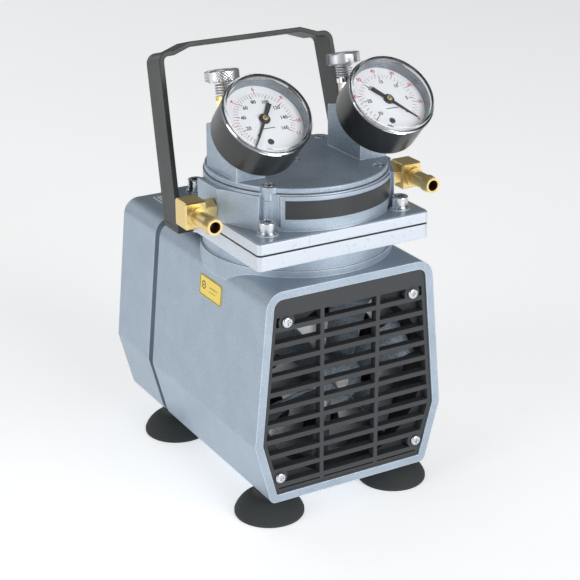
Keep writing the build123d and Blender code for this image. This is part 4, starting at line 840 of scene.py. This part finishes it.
@functools.cache
def marks_tree():
    """Equal bars spaced around an arc, as on a dial."""
    tree, given, result = new_group(
        "arc_marks", "GeometryNodeTree",
        [("Count", "Int"), ("Start", "Float"), ("Step", "Float"), ("Radius", "Float"),
         ("Length", "Float"), ("Width", "Float"), ("Thickness", "Float"),
         ("Material", "Material")],
        [("Geometry", "Geometry")],
    )
    index = tree.nodes.new("GeometryNodeInputIndex").outputs[0]
    angle = calc(tree, "ADD", given["Start"], calc(tree, "MULTIPLY", index, given["Step"]))
    place = polar(tree, angle, given["Radius"])
    turn = add(tree, "ShaderNodeCombineXYZ", {2: angle}).outputs[0]
    spots = {"Count": given["Count"], "Position": place}
    points = add(tree, "GeometryNodePoints", spots).outputs[0]
    size = add(
        tree, "ShaderNodeCombineXYZ",
        {0: given["Length"], 1: given["Width"], 2: given["Thickness"]},
    ).outputs[0]
    bar = add(tree, "GeometryNodeMeshCube", {"Size": size}).outputs[0]
    rotation = add(tree, "FunctionNodeEulerToRotation", {0: turn}).outputs[0]
    bars = add(
        tree, "GeometryNodeInstanceOnPoints",
        {"Points": points, "Instance": bar, "Rotation": rotation},
    ).outputs[0]
    return close_tree(tree, bars, result, given["Material"])


@functools.cache
def coil_tree():
    """A round or sharp wire wound into a helix: a spring or the crest of a screw thread."""
    tree, given, result = new_group(
        "wound_coil", "GeometryNodeTree",
        [("Turns", "Float"), ("Radius", "Float"), ("Height", "Float"), ("Wire", "Float"),
         ("Sides", "Int"), ("Material", "Material")],
        [("Geometry", "Geometry")],
    )
    spiral = add(
        tree, "GeometryNodeCurveSpiral",
        {"Resolution": 40, "Rotations": given["Turns"], "Start Radius": given["Radius"],
         "End Radius": given["Radius"], "Height": given["Height"]},
    ).outputs[0]
    profile = add(
        tree, "GeometryNodeCurvePrimitiveCircle",
        {"Resolution": given["Sides"], "Radius": given["Wire"]},
    ).outputs[0]
    tube = add(
        tree, "GeometryNodeCurveToMesh",
        {"Curve": spiral, "Profile Curve": profile, "Fill Caps": True},
    ).outputs[0]
    return close_tree(tree, tube, result, given["Material"])


@functools.cache
def knurl_tree():
    """Small pyramids in staggered rows around a cylinder."""
    tree, given, result = new_group(
        "diamond_knurl", "GeometryNodeTree",
        [("Columns", "Int"), ("Rows", "Int"), ("Radius", "Float"), ("Low", "Float"),
         ("High", "Float"), ("Depth", "Float"), ("Material", "Material")],
        [("Geometry", "Geometry")],
    )
    index = tree.nodes.new("GeometryNodeInputIndex").outputs[0]
    count = calc(tree, "MULTIPLY", given["Columns"], given["Rows"])
    row = calc(tree, "FLOOR", calc(tree, "DIVIDE", calc(tree, "ADD", index, 0.5), given["Columns"]))
    stagger = calc(tree, "MULTIPLY", calc(tree, "MODULO", row, 2.0), 0.5)
    pitch = calc(tree, "DIVIDE", 2 * math.pi, given["Columns"])
    angle = calc(tree, "MULTIPLY", calc(tree, "ADD", index, stagger), pitch)
    span = calc(tree, "SUBTRACT", given["High"], given["Low"])
    rise = calc(tree, "DIVIDE", span, calc(tree, "SUBTRACT", given["Rows"], 1.0))
    z = calc(tree, "ADD", given["Low"], calc(tree, "MULTIPLY", row, rise))
    place = polar(tree, angle, given["Radius"], z)
    points = add(tree, "GeometryNodePoints", {"Count": count, "Position": place}).outputs[0]
    half_chord = calc(tree, "MULTIPLY", calc(tree, "MULTIPLY", pitch, given["Radius"]), 0.45)
    cone = add(
        tree, "GeometryNodeMeshCone",
        {"Vertices": 4, "Radius Top": 0.0, "Radius Bottom": half_chord, "Depth": given["Depth"]},
        fill_type="NGON",
    ).outputs[0]
    lift = add(tree, "ShaderNodeCombineXYZ", {1: math.pi / 2, 2: angle}).outputs[0]
    rotation = add(tree, "FunctionNodeEulerToRotation", {0: lift}).outputs[0]
    tall = calc(tree, "DIVIDE", rise, half_chord)
    stretch = add(tree, "ShaderNodeCombineXYZ", {0: tall, 1: 1.0, 2: 1.0}).outputs[0]
    studs = add(
        tree, "GeometryNodeInstanceOnPoints",
        {"Points": points, "Instance": cone, "Rotation": rotation, "Scale": stretch},
    ).outputs[0]
    return close_tree(tree, studs, result, given["Material"])


# ---------------------------------------------------------------- pieces


class PUMP_OT_castings(bpy.types.Operator):
    """Finish the housing, rear cover, head and cap."""

    bl_idname = "pump.castings"
    bl_label = "Castings"

    def execute(self, context):
        dress(cast_paint(), "front_housing", "cylinder_head")
        dress(smooth_paint(), "rear_cover")
        dress(stippled_paint(), "manifold_cap")
        dress(rubber(), "seam_gasket", "diaphragm")
        return {"FINISHED"}


class PUMP_OT_grille(bpy.types.Operator):
    """Finish the grille and the ring behind it."""

    bl_idname = "pump.grille"
    bl_label = "Grille"

    def execute(self, context):
        dress(black_plastic(), "fan_grille")
        dress(shroud_plastic(), "fan_shroud")
        dress(fan_metal(), "cooling_fan")
        return {"FINISHED"}


class PUMP_OT_inside(bpy.types.Operator):
    """Finish the motor, crank, rod and valves inside the housing."""

    bl_idname = "pump.inside"
    bl_label = "Inner parts"

    def execute(self, context):
        dress(
            bare_aluminium(), "crankcase_wall", "rear_bracket", "connecting_rod", "support_plate",
            "clamp_disc",
        )
        dress(core_steel(), "stator_core", "rotor", "eccentric")
        dress(copper_wire(), "stator_windings")
        dress(bright_steel(), "motor_shaft", "front_bearing", "rear_bearing", "rod_bearing")
        dress(rubber(), "outlet_valve_disc", "inlet_valve_disc")
        return {"FINISHED"}


class PUMP_OT_fasteners(bpy.types.Operator):
    """Finish the screws and bolts."""

    bl_idname = "pump.fasteners"
    bl_label = "Fasteners"

    def execute(self, context):
        dress(
            zinc(), "grille_screws", "cover_screws", "tie_screws", "head_bolts", "cap_screws",
            "clamp_screw", "foot_screws", "valve_pins",
        )
        return {"FINISHED"}


class PUMP_OT_feet(bpy.types.Operator):
    """Finish the suction feet."""

    bl_idname = "pump.feet"
    bl_label = "Feet"

    def execute(self, context):
        dress(rubber(), "feet")
        return {"FINISHED"}


class PUMP_OT_handle(bpy.types.Operator):
    """Finish the strap handle."""

    bl_idname = "pump.handle"
    bl_label = "Handle"

    def execute(self, context):
        dress(handle_coating(), "handle")
        return {"FINISHED"}


class PUMP_OT_elbows(bpy.types.Operator):
    """Finish the hose elbows, and line the bores of their barbs with a dark sleeve of painted shade."""

    bl_idname = "pump.elbows"
    bl_label = "Hose elbows"

    def execute(self, context):
        for node in ("outlet_elbow", "inlet_elbow"):
            dress(brass(), node)
            low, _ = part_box(node)
            mount = next(
                m for m in frame["record"]["mounts"] if m["name"] == node.replace("elbow", "barb")
            )
            centre = Vector(mount["pos_m"])
            # A dark sleeve closed by a disc 7 mm in: painted shade inside the barb's bore.
            tip = frame_at((centre.x, low.y + 7 * MM, centre.z), (0, -1, 0), (1, 0, 0))
            outline = [(3.36, 0), (3.36, 6.6), (3.1, 6.6), (3.1, 0.4), (0, 0.4), (0, 0)]
            bore = lathe(in_mm(outline), dark_bore(), tip, f"{node}_bore", 48)
            show(bore, f"{node}_bore", "root")
        return {"FINISHED"}


class PUMP_OT_gauges(bpy.types.Operator):
    """Build the dials' printing, the crystals, the cases and the pointer hubs."""

    bl_idname = "pump.gauges"
    bl_label = "Gauges"

    def execute(self, context):
        for side in SIDES:
            dress(case_enamel(), f"{side}_gauge_case")
            dress(dial_white(), f"{side}_gauge_dial")
            dress(black_ink(), f"{side}_gauge_pointer")
            dress(brass(), f"{side}_gauge_movement")
            self.printing(context, side)
            self.crystal(side)
            self.hub(side)
        return {"FINISHED"}

    def printing(self, context, side):
        """Ticks and numerals of both scales, and the small fittings on the dial."""
        sweep = context.scene.pump_sizes.dial_sweep
        place = gauge_place(side) @ Matrix.Translation((0, 0, DIAL_FACE))
        lift = place @ Matrix.Translation((0, 0, PRINT_T / 2))
        scales = DIALS[side]
        way = -1 if side == "pressure" else 1
        parts = []
        for scale in scales:
            red = scale is scales[1]
            colour = red_ink() if red else black_ink()
            outward = 1 if red else -1
            unit = way * sweep * scale["share"] / scale["values"][-1]
            start = math.radians(DIAL_ZERO[side])
            for every, out, length, width in (
                (scale["every"], 0.75, 1.3, 0.26), (scale["values"][1], 1.35, 2.5, 0.44),
            ):
                parts.append(grow(
                    marks_tree(), lift, smooth=False, count=int(scale["values"][-1] / every) + 1,
                    start=start, step=unit * every, radius=SCALE_R + outward * out * MM,
                    length=length * MM, width=width * MM, thickness=PRINT_T, material=colour,
                ))
            for value in scale["values"]:
                angle = start + unit * value
                parts.append(written(
                    str(value), scale["size"], PRINT_T, colour,
                    scale["radius"] * math.cos(angle), scale["radius"] * math.sin(angle), place,
                ))
        low = math.radians(PLUG_TURN[side])
        spot = (PLUG_R * math.cos(low), PLUG_R * math.sin(low))
        parts.append(slab(circle(1.7 * MM, *spot), 0.3 * MM, black_plastic(), place, "plug"))
        parts.append(slab(
            circle(2.0 * MM, *spot), PRINT_T, black_ink(), place, "plug_ring",
            circle(1.75 * MM, *spot),
        ))
        rule = moved(rounded(9 * MM, 0.5 * MM, 0.2 * MM), 0, -RULE_DROP)
        parts.append(slab(rule, PRINT_T, black_ink(), place, "rule"))
        show(joined(parts, f"{side}_dial_print"), f"{side}_dial_print", "root")

    def crystal(self, side):
        """Clear stepped cover with a rounded rim."""
        outline = [
            (24.45, 0.04), (26.9, 0.04), (26.9, 1.8), (26.7, 2.2), (26.2, 2.4), (25.8, 2.5),
            (25.6, 3.4), (25.3, 4.0), (24.7, 4.3), (23.6, 4.4), (0, 4.4), (0, 3.0), (23.3, 3.0),
            (24.2, 2.6), (24.45, 1.9),
        ]
        points = moved(in_mm(outline), 0, CASE_FRONT)
        mesh = lathe(points, crystal(), gauge_place(side), f"{side}_crystal", 128, 40)
        show(mesh, f"{side}_crystal", "root", [f"{side}_gauge_crystal"])
        low, high = DIAL_FACE + 0.05 * MM, CASE_FRONT - 0.1 * MM
        ring = lathe(
            [(24.3 * MM, low), (24.95 * MM, low), (24.95 * MM, high), (24.6 * MM, high)],
            gauge_liner(), gauge_place(side), f"{side}_liner", 128,
        )
        show(ring, f"{side}_liner", "root")

    def hub(self, side):
        """Brass hub on the pointer, its slot a thin black sheet of painted shade."""
        place = gauge_place(side) @ Matrix.Translation((0, 0, HUB_BASE))
        outline = [(0, 0), (1.75, 0), (1.75, 0.35), (1.5, 0.6), (0.9, 0.78), (0, 0.82)]
        hub = lathe(in_mm(outline), brass(), place, "hub", 40)
        # The slot is not cut: a thin black sheet on the hub's top paints its shade.
        slot = slab(
            rounded(2.6 * MM, 0.4 * MM, 0.1 * MM), 0.05 * MM, black_ink(),
            place @ Matrix.Translation((0, 0, 0.8 * MM)) @ Matrix.Rotation(0.6, 4, "Z"), "slot",
        )
        show(joined([hub, slot], f"{side}_hub"), f"{side}_pointer_hub", f"{side}_pointer")


class PUMP_OT_valves(bpy.types.Operator):
    """Build the relief valves' threads, springs and knurled knobs."""

    bl_idname = "pump.valves"
    bl_label = "Relief valves"

    def execute(self, context):
        sizes = context.scene.pump_sizes
        for side in SIDES:
            place = valve_place(side)
            metal = brass() if side == "pressure" else chrome()
            slot = "brass" if side == "pressure" else "chrome"
            dress(metal, f"{side}_valve_body")
            dress(bright_steel(), f"{side}_valve_washer")
            self.threads(place, sizes, metal, slot, side)
            self.spring(place, sizes, side)
            self.knob(place, sizes, side)
        return {"FINISHED"}

    def threads(self, place, sizes, metal, slot, side):
        """Crests of the stem's thread."""
        height = KNOB_LOW - STEM_LOW - 0.6 * MM
        crest = grow(
            coil_tree(), place @ Matrix.Translation((0, 0, STEM_LOW + 0.2 * MM)), smooth=False,
            turns=height / sizes.thread_pitch, radius=THREAD_R, height=height, wire=0.32 * MM,
            sides=4, material=bright_steel(),
        )
        show(crest, f"{side}_stem_thread", "root")

    def spring(self, place, sizes, side):
        """Compression spring between the stem's seat and the washer."""
        base = STEM_LOW + SPRING_WIRE + 0.05 * MM
        height = WASHER_LOW - base - SPRING_WIRE - 0.05 * MM
        mesh = grow(
            coil_tree(), place @ Matrix.Translation((0, 0, base)),
            turns=float(sizes.spring_turns), radius=SPRING_R, height=height, wire=SPRING_WIRE,
            sides=10, material=bright_steel(),
        )
        piece = put(f"{side}_spring", mesh)
        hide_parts(f"{side}_valve_spring")
        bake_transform(piece)

    def knob(self, place, sizes, side):
        """Knob with a turned top, rolled edges and diamond knurling over a dark band of painted shade."""
        outline = [
            (2.3, 0), (7.6, 0), (8.9, 0.25), (9.45, 0.8), (9.6, 1.1), (9.6, 6.4), (9.45, 6.8),
            (8.9, 7.3), (8.2, 7.5), (5.2, 7.5), (4.9, 7.3), (0, 7.3), (0, 6.0), (2.3, 6.0),
        ]
        core = lathe(moved(in_mm(outline), 0, KNOB_LOW), chrome(), place, "core", 96)
        knurl = grow(
            knurl_tree(), place, smooth=False, columns=sizes.knurl_columns, rows=sizes.knurl_rows,
            radius=KNURL_R, low=KNOB_LOW + 1.2 * MM, high=KNOB_LOW + 6.3 * MM,
            depth=sizes.knurl_depth, material=chrome(),
        )
        # A dark steel band under the diamonds: painted shade in the grooves between them.
        band = [(9.3, 1.1), (9.62, 1.1), (9.62, 6.4), (9.3, 6.4)]
        shade = lathe(moved(in_mm(band), 0, KNOB_LOW), core_steel(), place, "groove_shade", 96)
        show(
            joined([core, shade, knurl], f"{side}_knob"), f"{side}_knob", f"{side}_knob",
            [f"{side}_valve_knob"],
        )


class PUMP_OT_labels(bpy.types.Operator):
    """Print the generic side label, the rating plate and the strip."""

    bl_idname = "pump.labels"
    bl_label = "Labels"

    def execute(self, context):
        dress(label_film(), "side_label")
        dress(plate_film(), "nameplate")
        dress(satin_film(), "name_strip")
        self.side_label()
        self.nameplate()
        return {"FINISHED"}

    def side_label(self):
        """Black border, a plain ring and two rows of marks."""
        place = face_place("side_label", (-1, 0, 0), (0, -1, 0))
        black = black_ink()
        parts = [
            slab(rounded(27.2 * MM, 12.8 * MM, 1.6 * MM), PRINT_T, black, place, "border",
                 rounded(26.2 * MM, 11.8 * MM, 1.2 * MM)),
            slab(circle(2.6 * MM, -8.6 * MM, 0.4 * MM), PRINT_T, black, place, "ring",
                 circle(1.9 * MM, -8.6 * MM, 0.4 * MM)),
            slab(circle(0.8 * MM, -8.6 * MM, 0.4 * MM), PRINT_T, black, place, "dot"),
        ]
        for row, (length, count) in enumerate(((1.1, 5), (0.8, 4))):
            for index in range(count):
                x = (-0.5 + index * 2.0) * MM
                y = (0.9 - row * 2.6) * MM
                bar = moved(rounded(length * MM, 0.8 * MM, 0.15 * MM), x, y)
                parts.append(slab(bar, PRINT_T, black, place, "bar"))
        show(joined(parts, "side_label_print"), "side_label_print", "root")

    def nameplate(self):
        """Black border and ruled lines."""
        place = face_place("nameplate", (0, 0, 1), (1, 0, 0))
        low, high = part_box("nameplate")
        wide = high.x - low.x - 1.2 * MM
        deep = high.y - low.y - 1.2 * MM
        black = black_ink()
        parts = [slab(rounded(wide, deep, 1.2 * MM), PRINT_T, black, place, "border",
                      rounded(wide - 1.4 * MM, deep - 1.4 * MM, 0.7 * MM))]
        for row in range(3):
            y = (3.4 - 3.4 * row) * MM
            for start, length in ((-30, 16), (-10, 12), (6, 20)):
                x = (start + length / 2) * MM
                bar = moved(rounded(length * MM, 0.5 * MM, 0.2 * MM), x, y)
                parts.append(slab(bar, PRINT_T, black, place, "rule"))
        show(joined(parts, "nameplate_print"), "nameplate_print", "root")


class PUMP_OT_rear_fittings(bpy.types.Operator):
    """Finish the switch and the cable gland at the back."""

    bl_idname = "pump.rear_fittings"
    bl_label = "Rear fittings"

    def execute(self, context):
        dress(black_plastic(), "power_switch", "cable_gland")
        dress(bright_steel(), "switch_lever")
        return {"FINISHED"}


class PUMP_OT_stage(bpy.types.Operator):
    """Lay the pale floor, the soft lights and the camera."""

    bl_idname = "pump.stage"
    bl_label = "Stage"

    def execute(self, context):
        self.floor()
        self.lights()
        self.camera()
        return {"FINISHED"}

    def floor(self):
        """Wide pale floor under the feet."""
        made = bmesh.new()
        bmesh.ops.create_grid(made, x_segments=1, y_segments=1, size=6.0)
        mesh = bpy.data.meshes.new("floor")
        made.to_mesh(mesh)
        made.free()
        mesh.transform(Matrix.Translation((0, 0, CAD_LOW.z - 0.05 * MM)))
        pale = surface(
            "pale_floor", (0.95, 0.95, 0.95), (0.93, 0.93, 0.94), 0.0, (0.5, 0.6),
            grain=60.0, mottle=2.0,
        )
        # a lit table, so that the backdrop stays pale under soft lights
        shader = pale.node_tree.nodes["Principled BSDF"]
        shader.inputs["Emission Color"].default_value = (1, 1, 1, 1)
        shader.inputs["Emission Strength"].default_value = 0.48
        mesh.materials.append(pale)
        put("floor", mesh)

    def lights(self):
        """A pale room, a key light in front and softer lights beside and above."""
        world = bpy.data.worlds.new("studio")
        world.use_nodes = True
        background = world.node_tree.nodes["Background"]
        background.inputs["Color"].default_value = (0.93, 0.965, 1.0, 1)
        background.inputs["Strength"].default_value = 0.19
        bpy.context.scene.world = world
        for name, place, power, size in (
            ("key", (0.5, -1.9, 0.65), 24.0, 1.3),
            ("side", (-1.9, -0.2, 0.7), 17.0, 1.5),
            ("back", (-0.6, 2.1, 0.8), 5.0, 1.2),
            ("top", (-0.2, 0.3, 1.9), 2.0, 0.8),
        ):
            data = bpy.data.lights.new(name, "AREA")
            data.energy = power
            data.size = size
            lamp = put(name, data)
            lamp.location = place
            aim = Vector((0, 0, 0.13)) - Vector(place)
            lamp.rotation_euler = aim.to_track_quat("-Z", "Y").to_euler()

    def camera(self):
        """Long lens from the front left, a little above the pump."""
        data = bpy.data.cameras.new("camera")
        data.lens = 98.0
        data.sensor_width = 36.0
        data.clip_start = 0.05
        camera = put("camera", data)
        camera.location = (-0.4551, -0.8248, 0.4893)
        aim = Vector((-0.00708, -0.046, 0.12437)) - camera.location
        level = aim.to_track_quat("-Z", "Y").to_matrix()
        roll = Matrix.Rotation(math.radians(-0.14), 3, "Z")
        camera.rotation_euler = (level @ roll).to_euler()
        bpy.context.scene.camera = camera
        bpy.context.scene.view_settings.view_transform = "Standard"


OPERATORS = (
    PUMP_OT_castings,
    PUMP_OT_grille,
    PUMP_OT_inside,
    PUMP_OT_fasteners,
    PUMP_OT_feet,
    PUMP_OT_handle,
    PUMP_OT_elbows,
    PUMP_OT_gauges,
    PUMP_OT_valves,
    PUMP_OT_labels,
    PUMP_OT_rear_fittings,
    PUMP_OT_stage,
)


class PUMP_PT_panel(bpy.types.Panel):
    """Sidebar panel that lists the pump's sizes, colours and pieces."""

    bl_idname = "PUMP_PT_panel"
    bl_label = "Diaphragm Pump"
    bl_space_type = "VIEW_3D"
    bl_region_type = "UI"
    bl_category = "Pump"

    def draw(self, context):
        for group in (context.scene.pump_sizes, context.scene.pump_colours):
            for name in group.__annotations__:
                self.layout.prop(group, name)
        for operator in OPERATORS:
            self.layout.operator(operator.bl_idname)


CLASSES = (PumpSizes, PumpColours, *OPERATORS, PUMP_PT_panel)


def register():
    """Registers the classes and hangs the settings on the scene."""
    for item in CLASSES:
        bpy.utils.register_class(item)
    bpy.types.Scene.pump_sizes = PointerProperty(type=PumpSizes)
    bpy.types.Scene.pump_colours = PointerProperty(type=PumpColours)


def unregister():
    """Takes the settings and classes away again."""
    del bpy.types.Scene.pump_colours
    del bpy.types.Scene.pump_sizes
    for item in reversed(CLASSES):
        bpy.utils.unregister_class(item)


def main():
    """Registers the settings and runs every operator to build each piece."""
    register()
    for operator in OPERATORS:
        group, name = operator.bl_idname.split(".")
        getattr(getattr(bpy.ops, group), name)()


if __name__ == "__main__":
    main()
